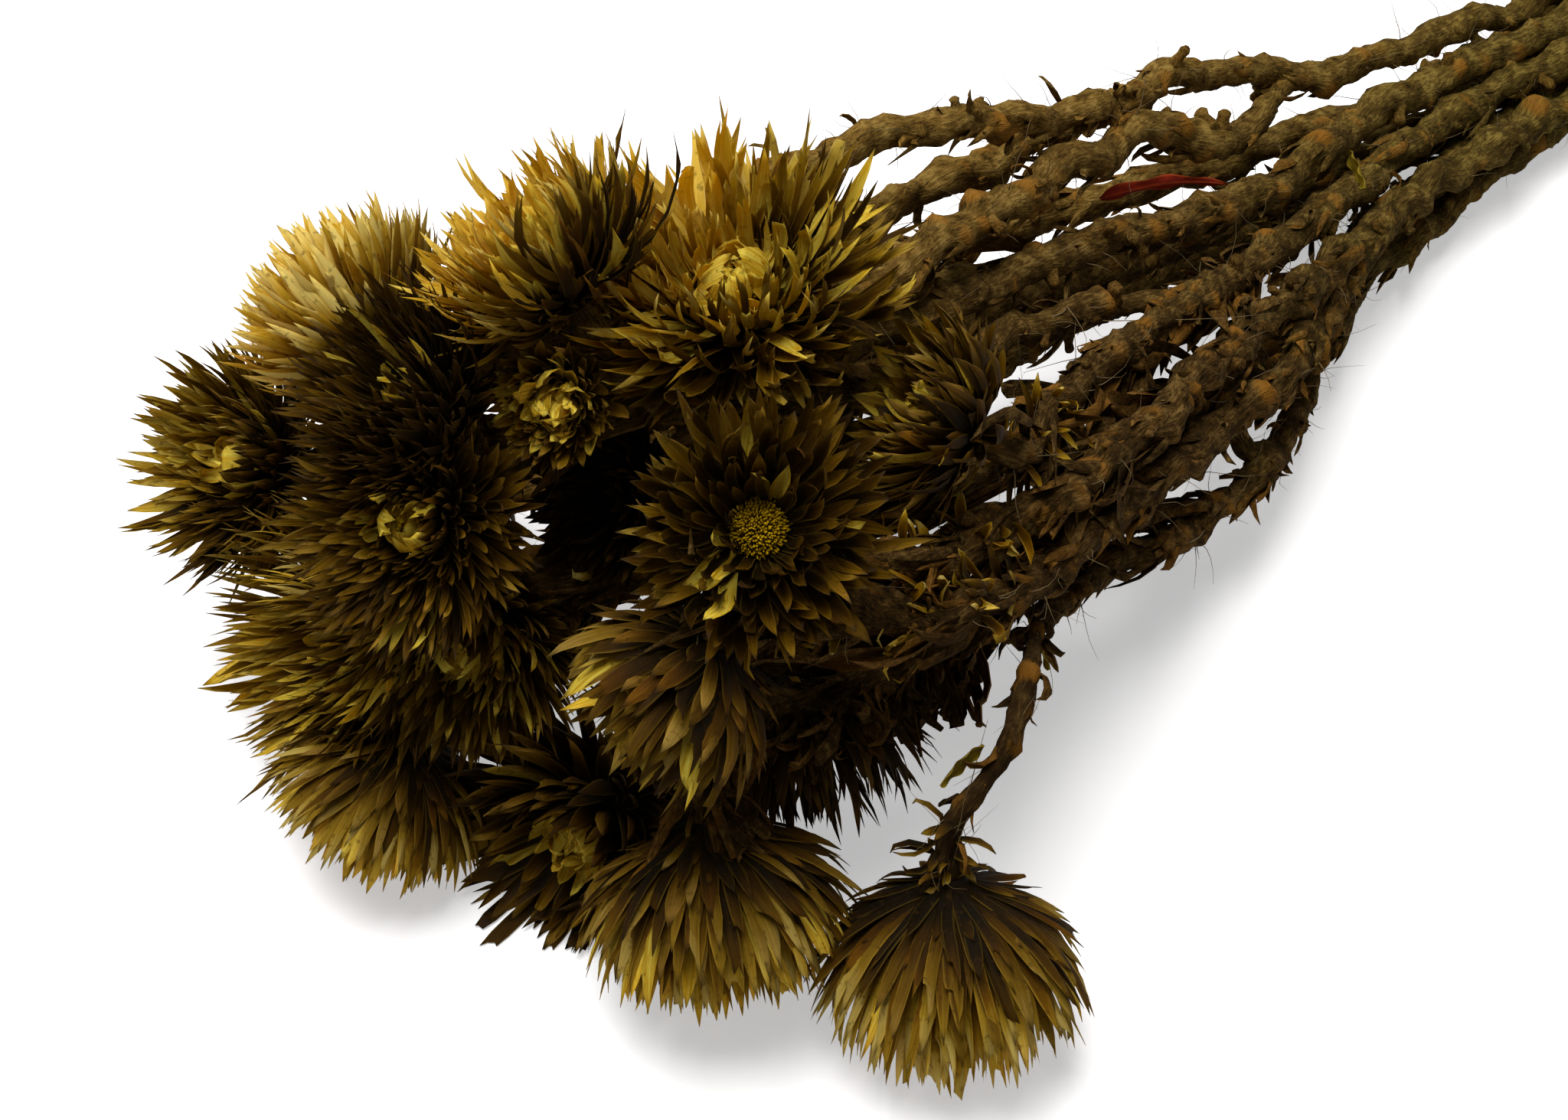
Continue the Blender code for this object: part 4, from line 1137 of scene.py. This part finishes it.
# %% What each stem wears
INWARD = {"stem_low": (-0.2, 0.9, 0.3), "stem_under": (-0.2, 0.9, 0.1),
          "stem_top": (0.2, -0.9, -0.3), "stem_near": (-0.2, 0.9, -0.2),
          "branch_crest": (0.2, -0.8, -0.5), "branch_curl": (0.2, -0.8, -0.5)}
BARE = ("stem_top", "branch_crest", "branch_curl")
BELOW = unit(np.array([-0.15, -0.75, -0.65]))
# Nearest and farthest distance from the tip, and how many leaves between them.
HANGING = {"stem_floor": (2, 66, 230), "branch_hook": (0, 44, 70),
           "branch_floor": (0, 60, 60)}
FILLED = {"stem_near": (24, 100, 30), "stem_middle": (35, 110, 30),
          "branch_near": (20, 80, 20), "stem_under": (8, 60, 20),
          "branch_hook": (6, 44, 16), "stem_back": (22, 60, 24)}
# Distances from the tip, and the share of the CAD's radius at each.
SLENDER = {"stem_low": ([0, 10, 60, 76, 250, 290], [0.85, 0.5, 0.5, 0.84, 0.84, 1.0]),
           "stem_top": ([0, 20, 40, 250], [1.0, 1.0, 0.84, 0.84])}
# How far from its tip a stem has no long leaves.
LEAFLESS, LEAFLESS_LOW = 6, 78
SHRED_EVERY, BARE_SHRED_EVERY, CURL_EVERY, STUB_EVERY = 2.8, 6.0, 7.0, 26.0


# %% Grow the stems
def slimmed(stem, points, radii):
    """The radii of a slender stem, less by a share that depends on the distance to its
    tip."""
    if stem not in SLENDER:
        return radii
    steps = np.linalg.norm(np.diff(points, axis=0), axis=1)
    from_tip = np.append(np.cumsum(steps[::-1])[::-1], 0.0) / MM
    return radii * np.interp(from_tip, *SLENDER[stem])


def dress(rng, stem, track):
    """All that clings to a stem: stubs, flat shreds, small curls and withered leaves, and
    what fills the gaps or hangs below. All lengths are in millimetres."""
    whole, main, bare = track[5][-1] / MM, stem.startswith("stem"), stem in BARE
    inner = unit(np.array(INWARD[stem])) if stem in INWARD else None
    near = LEAFLESS_LOW if stem == "stem_low" else LEAFLESS
    shreds = clinging(rng, track, int(whole / (BARE_SHRED_EVERY if bare else SHRED_EVERY)),
                      (near * 0.8, 220), (5, 14), (1.2, 2.6), (-0.02, 0.18), 0.25,
                      toward=inner if bare else None)
    curls = clinging(rng, track, int(whole / CURL_EVERY), (4, 160), (3, 8), (0.8, 1.8),
                     (0.1, 0.8), 1.2)
    withered = clinging(rng, track, 1 if bare else 18 if main else 9,
                        (near, 130 if main else 70), (12, 24), (2.0, 4.2), (0.02, 0.3), 0.8,
                        toward=inner)
    parts = [stubs(rng, track, int(whole / STUB_EVERY) + 2), shreds, curls, withered]
    if stem in FILLED:
        *span, count = FILLED[stem]
        parts.append(clinging(rng, track, count, span, (14, 28), (2.5, 5.5), (0.0, 0.35),
                              0.5, toward=BELOW))
    if stem in HANGING:
        *span, count = HANGING[stem]
        parts.append(clinging(rng, track, count, span, (5, 12), (1.4, 3.8), (0.3, 1.3), 1.3,
                              toward=BELOW, blunt=rng.uniform(0.1, 0.7, count),
                              taper=rng.uniform(0.5, 0.8, count)))
    return parts


tracks = {}
for stem in STEM_TO_HEAD:
    rng = draws(stem)
    points, radii = joined_start(stem)
    rings, marks, tracks[stem] = bark_rings(rng, points, slimmed(stem, points, radii))
    parts = [closed_tubes(off_table(rings), marks)] + dress(rng, stem, tracks[stem])
    add_piece("felt_" + stem, gathered(parts), felt, "stem", stem)
count_pieces("felt")

# %% [markdown]
# Wool threads are paler than the felt. They sit thickest under the heads, and a few long
# ones stand off each stem, shorter on the bare stems at the top.

# %% Wool
def wool_finish():
    material, s = new_finish("wool_thread")
    shade = s.noise(s.place(), 300.0, 2.0)
    colour = s.blend(shade, srgb(80, 64, 38), srgb(140, 120, 82))
    put_on(s, s.surface(colour, 0.9, 0.2))
    return material


WOOL_EVERY = 2.6 * MM
LONG_THREADS = 2
SHORTER_ON_BARE = 0.3
wool = wool_finish()
rng = draws("wool")
tufts = []
for stem, track in tracks.items():
    whole = track[5][-1]
    n = int(whole / WOOL_EVERY)
    at = whole * (1 - rng.random(n) ** 1.5 * 0.95)
    origin, out, up = on_stem(track, at, rng.uniform(0, 2 * math.pi, n))
    way = unit(out * rng.uniform(0.1, 1.0, (n, 1)) + up * rng.normal(0, 1.0, (n, 1)))
    tufts.append(threads(rng, origin, way, rng.uniform(2, 9, n) * MM,
                         rng.uniform(0.06, 0.13, n) * MM, 0.35, stations=5))
    n = LONG_THREADS
    at = whole * rng.uniform(0.1, 0.9, n)
    origin, out, up = on_stem(track, at, rng.uniform(0, 2 * math.pi, n))
    way = unit(out * rng.uniform(0.1, 0.4, (n, 1)) + up * rng.choice([-1.0, 1.0], (n, 1)))
    long = rng.uniform(10, 22, n) * (SHORTER_ON_BARE if stem in BARE else 1) * MM
    tufts.append(threads(rng, origin, way, long, rng.uniform(0.12, 0.24, n) * MM, 0.5,
                         stations=12))
add_piece("wool_threads", gathered(tufts), wool, "stem")
count_pieces("wool_threads")

# %% [markdown]
# ## Leaves under the heads
# The last leaves under a head dried golden brown and curl away from the neck like
# shavings. The untidy pale head has long strands hanging from it, and some heads have a
# sheaf of leaves down their stems.

# %% Neck leaves
NeckLeaves = namedtuple("NeckLeaves", "count span long wide lean curl")
PLAIN_NECK = NeckLeaves(14, 14, (3, 7), (0.7, 1.6), (0.2, 1.6), 1.3)
NECK_LEAVES = {"06": NeckLeaves(30, 34, (9, 24), (1.4, 3.6), (0.1, 1.3), 0.7),
               "09": NeckLeaves(40, 36, (4, 10), (0.7, 1.6), (0.3, 1.8), 1.6),
               "16": NeckLeaves(24, 10, (3, 8), (1.0, 2.2), (0.4, 2.0), 0.8),
               "10": NeckLeaves(50, 60, (4, 11), (0.8, 2.2), (0.2, 1.6), 1.4),
               "08": NeckLeaves(40, 54, (4, 9), (1.0, 2.4), (0.2, 1.6), 1.2),
               "18": NeckLeaves(24, 60, (4, 9), (0.8, 2.0), (0.2, 1.6), 1.2),
               "11": NeckLeaves(24, 60, (4, 9), (0.8, 2.0), (0.2, 1.6), 1.2)}
SHEAF = 30
for stem, head in STEM_TO_HEAD.items():
    neck = NECK_LEAVES.get(head, PLAIN_NECK)
    rng = draws("neck_" + head)
    paleness = rng.uniform(0.0, 0.75 if neck.span > SHEAF else 0.4, neck.count)
    part = clinging(rng, tracks[stem], neck.count, (0.5, neck.span), neck.long, neck.wide,
                    neck.lean, neck.curl, pale=paleness)
    add_piece("neck_leaves_" + head, part, bract, "bract")
count_pieces("neck_leaves")

# %% [markdown]
# ## Leaves and buds
# Four odd leaves and two unopened buds sit among the stems. Each CAD node gives its own
# long axis, and the end nearest a stem is the foot. A leaf is one broad blade with a
# midrib and a wavy rim; a bud is a slim sheaf of narrow bracts.

# %% Measure leaves and buds
Slip = namedtuple("Slip", "foot axis broad length width")


def measure_slip(name):
    """Foot, long axis, broad direction, length and width of a leaf or bud in the CAD."""
    spots, _ = welded(name)
    middle = spots.mean(0)
    _, ways = np.linalg.eigh(np.cov((spots - middle).T))
    axis, broad = ways[:, 2], ways[:, 1]
    stems = np.concatenate([track[0] for track in tracks.values()])

    def gap(end):
        return np.linalg.norm(stems - end, axis=1).min()

    along = (spots - middle) @ axis
    ends = middle + along.min() * axis, middle + along.max() * axis
    if gap(ends[1]) < gap(ends[0]):
        axis, ends = -axis, ends[::-1]
    return Slip(ends[0], axis, broad, np.ptp(along), np.ptp((spots - middle) @ broad))


# %% Leaf finish
MOTTLE = (900.0, 320.0, 1.0)
MIDRIBS_PER_METRE = 3000.0


def leaf_finish(name, deep, light, rim):
    """A dry leaf: two tones mottled together, a paler midrib and a bright rim."""
    material, s = new_finish(name)
    grain = s.mark("grain", vector=True)
    from_midrib = s.math("ABSOLUTE", grain.part("X"))
    mottle = s.noise(grain.stretched(MOTTLE), 1.0, 4.0)
    colour = s.blend(mottle.rising(0.35, 0.65), deep, light)
    colour = s.blend((1 - (from_midrib * MIDRIBS_PER_METRE).clamped()) * 0.5, colour, rim)
    colour = s.blend(s.mark("gold") * 0.8, colour, rim)
    front = s.surface(colour, 0.7, 0.08, s.bump(mottle, 0.5, 0.4 * MM))
    put_on(s, s.lit_through(0.25, front, rim))
    return material


# %% Leaf and bud shapes
LEAF_STATIONS, LEAF_PLACES = 26, 13
STALK = 0.12
LAST_STATION, LAST_SHARE = 0.96, 0.35
RIM_WAVE, RIM_WAVES = 0.10, 17
CURLS_FROM = 0.15
LEAF_FOLD = 0.35
MIDRIB_DEEP, MIDRIB_BROAD = 0.25 * MM, 0.12
LEAF_THICK, RIM_THICK = 0.28 * MM, 0.08


def leaf_part(rng, slip, tip_round, skew, curl, slim=1.0, sag=0.0):
    """One leaf, closed: a grid of stations along by places across, front and back.

    Half width: sine of the place along to the power tip_round, so that a small power
    gives a blunt leaf; the place is first raised to skew, which moves the widest part
    towards the tip. The middle line leaves the long axis by sag times the length times
    the sine of the place. Out of its plane it lifts by curl times the square of the place
    along, by the fold times the square of the place across, and by a wave at the rim, and
    it sinks along the midrib. It is thinnest at the rim.
    """
    s = np.linspace(0.0, 1.0, LEAF_STATIONS)
    u = np.linspace(-1, 1, LEAF_PLACES)
    swelling = np.sin(np.pi * s ** skew) ** tip_round
    half = 0.5 * slip.width * slim * (STALK + (1 - STALK) * swelling)
    half = half * np.where(s > LAST_STATION, LAST_SHARE, 1.0)
    normal = np.cross(slip.axis, slip.broad)
    rim = RIM_WAVE * slip.width * np.sin(s * RIM_WAVES + rng.uniform(0, 6))
    lift = (curl * slip.length * (s - CURLS_FROM) ** 2)[:, None] + 0 * u
    lift = lift + LEAF_FOLD * half[:, None] * u ** 2
    lift = lift + rim[:, None] * np.abs(u) ** 3 * np.sign(u)
    lift = lift - MIDRIB_DEEP * np.exp(-(u / MIDRIB_BROAD) ** 2)
    thick = LEAF_THICK * np.clip(1 - u ** 6, RIM_THICK, 1)
    off = (sag * slip.length * np.sin(np.pi * s))[:, None]
    front = (slip.foot + slip.axis * (s * slip.length)[:, None, None]
             + slip.broad * (half[:, None] * u + off)[..., None])
    top = front + normal * (lift + thick / 2)[..., None]
    low = front + normal * (lift - thick / 2)[..., None]
    rings = np.concatenate([top, low[:, ::-1]], axis=1)[None]
    places = np.concatenate([half[:, None] * u, (half[:, None] * u)[:, ::-1]], axis=1)
    grain = np.stack([places, np.broadcast_to((s * slip.length)[:, None], places.shape),
                      0 * places], -1)
    rim_mark = np.broadcast_to(np.concatenate([np.abs(u), np.abs(u[::-1])]), places.shape)[None]
    return closed_tubes(off_table(rings), {
        "grain": grain[None], "gold": rim_mark > 0.9, "rim": rim_mark > 0.99})


def bud_part(rng, slip, count, wide, swell):
    """A sheaf of bracts round a slip's axis, hugging it and meeting at the tip. Feet climb
    the first third of the length and tips the rest, both drawing in as they do. Swell is
    how far a bract leans out at its foot."""
    side, other = across(slip.axis)
    q = (np.arange(count) + 0.5) / count
    turn = np.arange(count) * GOLDEN
    out = fan(side, other, turn)
    foot = np.stack([slip.width * 0.16 * (1 - 0.3 * q), slip.length * 0.34 * q], -1)
    tip = np.stack([slip.width * (0.42 - 0.32 * q) * rng.uniform(0.7, 1.2, count),
                    slip.length * (0.42 + 0.62 * q)], -1)
    b = plain_blades(rng, count, origin=np.broadcast_to(slip.foot, (count, 3)), out=out,
                     up=np.broadcast_to(slip.axis, (count, 3)), foot=foot, tip=tip,
                     start=np.full(count, math.pi / 2 - swell),
                     finish=np.full(count, math.pi / 2 + 0.5 * swell),
                     wide=np.full(count, wide), pale=rng.uniform(0.0, 0.35, count))
    rings, marks = blade_rings(b)
    return closed_tubes(rings, marks)


# %% Make the leaves and buds
red = leaf_finish("red_leaf", srgb(84, 20, 7), srgb(130, 36, 14), srgb(184, 80, 36))
green = leaf_finish("green_leaf", srgb(84, 68, 12), srgb(142, 120, 28), srgb(198, 172, 62))
LEAVES = {
    "red": (red, "red_leaf", dict(tip_round=0.35, skew=2.2, curl=0.04, slim=0.6, sag=0.06)),
    "green": (green, "green_leaf", dict(tip_round=0.8, skew=0.8, curl=0.12)),
    "curled": (green, "green_leaf", dict(tip_round=0.8, skew=0.8, curl=0.3)),
    "hanging": (green, "green_leaf", dict(tip_round=0.9, skew=0.8, curl=0.1)),
}
for leaf, (finish, slot_name, form) in LEAVES.items():
    part = leaf_part(draws(leaf), measure_slip("leaf_" + leaf), **form)
    add_piece("dry_leaf_" + leaf, part, finish, slot_name, "leaf_" + leaf)
add_piece("dry_bud_needle", bud_part(draws("needle"), measure_slip("bud_needle"), 46,
                                     0.9 * MM, 0.25), bract, "bract", "bud_needle")
add_piece("dry_bud_small", bud_part(draws("small"), measure_slip("bud_small"), 26,
                                    1.6 * MM, 0.6), bract, "bract", "bud_small")
count_pieces("dry")

# %% [markdown]
# ## The band
# A rubber band wound several times holds the bunch. Its CAD node gives the outline that
# it pulls tight round the stems. The winding is one closed flat cord that goes round five
# times and steps along the stems as it does.

# %% The winding
BAND_TURNS, BAND_SIDES, BAND_STATIONS = 5, 8, 420
BAND_THICK, BAND_WIDE = 0.45 * MM, 0.85 * MM
BAND_SPREAD = 0.42
RIPPLE = 0.35 * MM
NEARBY = 0.2


def squared(values):
    """Sines or cosines pushed outwards, which turns a circle into a rounded square."""
    return np.sign(values) * np.abs(values) ** 0.5


def band_part():
    """A closed winding. At angle a the middle line lies where the CAD band's outline is,
    moved out by a ripple so that the turns climb over each other, and along the stems by
    a cosine of the angle divided by the number of turns, so that the end meets the
    start."""
    spots, _ = welded("band")
    low, high = spots.min(0), spots.max(0)
    middle = (low + high) / 2
    rim = spots[:, 1:] - middle[1:]
    bearing, far = np.arctan2(rim[:, 1], rim[:, 0]), np.linalg.norm(rim, axis=1)
    order = np.argsort(bearing)
    bearing, far = bearing[order], far[order]
    apart = np.abs((bearing - bearing[:, None] + math.pi) % (2 * math.pi) - math.pi)
    outer = np.where(apart < NEARBY, far, 0.0).max(1)
    angle = np.linspace(0, 1, BAND_STATIONS, endpoint=False) * 2 * math.pi * BAND_TURNS
    wrapped = (angle + math.pi) % (2 * math.pi) - math.pi
    reach = np.interp(wrapped,
                      np.r_[bearing[-1] - 2 * math.pi, bearing, bearing[0] + 2 * math.pi],
                      np.r_[outer[-1], outer, outer[0]])
    reach = reach + RIPPLE * np.sin(angle * (BAND_TURNS - 1) / BAND_TURNS + 0.6)
    along = BAND_SPREAD * (high[0] - low[0]) * np.cos(angle / BAND_TURNS)
    line = np.stack([middle[0] + along, middle[1] + reach * np.cos(angle),
                     middle[2] + reach * np.sin(angle)], -1)
    way = unit(np.roll(line, -1, 0) - np.roll(line, 1, 0))
    out = np.stack([0 * angle, np.cos(angle), np.sin(angle)], -1)
    out = unit(out - (out * way).sum(-1, keepdims=True) * way)
    side = np.cross(way, out)
    ring = bearings(BAND_SIDES)[:, None]
    rings = (line[:, None] + out[:, None] * (BAND_THICK * squared(np.cos(ring)))
             + side[:, None] * (BAND_WIDE * squared(np.sin(ring))))
    index = np.arange(BAND_STATIONS * BAND_SIDES).reshape(BAND_STATIONS, BAND_SIDES)
    beside, after = np.roll(index, -1, 1), np.roll(index, -1, 0)
    walls = np.stack([index, beside, np.roll(after, -1, 1), after], -1).reshape(-1, 4)
    return off_table(rings).reshape(-1, 3), [walls], {}


# %% Rubber
def rubber_finish():
    material, s = new_finish("band_rubber")
    dust = s.noise(s.place(), 420.0, 4.0)
    colour = s.blend(dust.rising(0.4, 0.7), srgb(176, 136, 84), srgb(146, 108, 62))
    grainy = s.bump(s.noise(s.place(), 1600.0, 3.0), 0.3, 0.2 * MM)
    put_on(s, s.surface(colour, dust * 0.3 + 0.42, 0.5, grainy))
    return material


add_piece("wound_band", band_part(), rubber_finish(), "band", "band")
count_pieces("wound_band")

# %% [markdown]
# ## Table, light and camera
# A white table and a large soft lamp from behind: the flowers glow against it, and the
# shadow falls towards the viewer. The camera looks down along the stems.

# %% Table
WHITE = (1.0, 1.0, 1.0, 1.0)
TABLE_TO_LIGHT, TABLE_TO_CAMERA = (0.55, 0.54, 0.54), (0.92, 0.90, 0.895)
TABLE_HALF = 4.0


def seen_rays(s):
    """1 for what the camera sees, also by reflection and through glass, and 0 for light."""
    path = s.tree.nodes.new("ShaderNodeLightPath")
    rays = [Shade(s.tree, path.outputs[f"Is {kind} Ray"])
            for kind in ("Camera", "Glossy", "Transmission")]
    return (rays[0] + rays[1] + rays[2]).clamped()


def table_finish():
    """White to the camera and pale grey to light, so that little light comes back up.
    Far from the object, where the lamp fades, the floor glows more."""
    material, s = new_finish("white_table")
    seen = seen_rays(s)
    far = s.node("ShaderNodeVectorMath", {"operation": "LENGTH"}, {0: s.place()}, out=1)
    colour = s.blend(seen, TABLE_TO_LIGHT, TABLE_TO_CAMERA)
    plain = s.node("ShaderNodeBsdfDiffuse", {}, {"Color": colour})
    near_glow = 0.45
    strength = seen * (near_glow + far.rising(0.45, 1.6) * (1 - near_glow))
    glow = s.node("ShaderNodeEmission", {}, {"Color": WHITE, "Strength": strength})
    put_on(s, s.node("ShaderNodeAddShader", {}, {0: plain, 1: glow}))
    return material


floor_mesh = bpy.data.meshes.new("table_top")
corners = [(x * TABLE_HALF, y * TABLE_HALF, 0)
           for x, y in ((-1, -1), (1, -1), (1, 1), (-1, 1))]
floor_mesh.from_pydata(corners, [], [(0, 1, 2, 3)])
floor = bpy.data.objects.new("table_top", floor_mesh)
bpy.context.scene.collection.objects.link(floor)
floor_mesh.materials.append(table_finish())

# %% Lights
AMBIENT = 0.14
WINDOW_AT = Vector((-0.20, 0.24, 1.38))
WINDOW_SIZE, WINDOW_POWER = 1.0, 25.0
world = bpy.data.worlds.new("studio")
world.use_nodes = True
bpy.context.scene.world = world
world.node_tree.nodes.clear()
sky = Shade(world.node_tree)
backdrop = sky.node("ShaderNodeBackground", {}, {
    "Color": WHITE, "Strength": seen_rays(sky) * (1 - AMBIENT) + AMBIENT})
world_end = world.node_tree.nodes.new("ShaderNodeOutputWorld")
world.node_tree.links.new(backdrop.socket, world_end.inputs["Surface"])

middle = (cad_low + cad_high) / 2
window = bpy.data.lights.new("window", "AREA")
window.size, window.energy = WINDOW_SIZE, WINDOW_POWER
lamp = bpy.data.objects.new("window", window)
lamp.location = middle + WINDOW_AT
lamp.rotation_euler = (-WINDOW_AT).to_track_quat("-Z", "Y").to_euler()
bpy.context.scene.collection.objects.link(lamp)

# %% Camera
LENS, SENSOR = 70.0, 36.0
AZIMUTH, ELEVATION, DISTANCE = math.radians(-44.0), math.radians(48.0), 0.52
TARGET = Vector((cad_low.x + 0.0898, 0.005, 0.03))
back = Vector((math.sin(AZIMUTH) * math.cos(ELEVATION), -math.cos(AZIMUTH) * math.cos(ELEVATION),
               math.sin(ELEVATION)))
camera_data = bpy.data.cameras.new("camera")
camera_data.lens, camera_data.sensor_width = LENS, SENSOR
camera = bpy.data.objects.new("camera", camera_data)
camera.location = TARGET + DISTANCE * back
camera.rotation_euler = (-back).to_track_quat("-Z", "Y").to_euler()
bpy.context.scene.collection.objects.link(camera)
bpy.context.scene.camera = camera
bpy.context.scene.view_settings.view_transform = "Standard"

# %% Sizes and the end
print("triangles:", sum(triangles.values()))
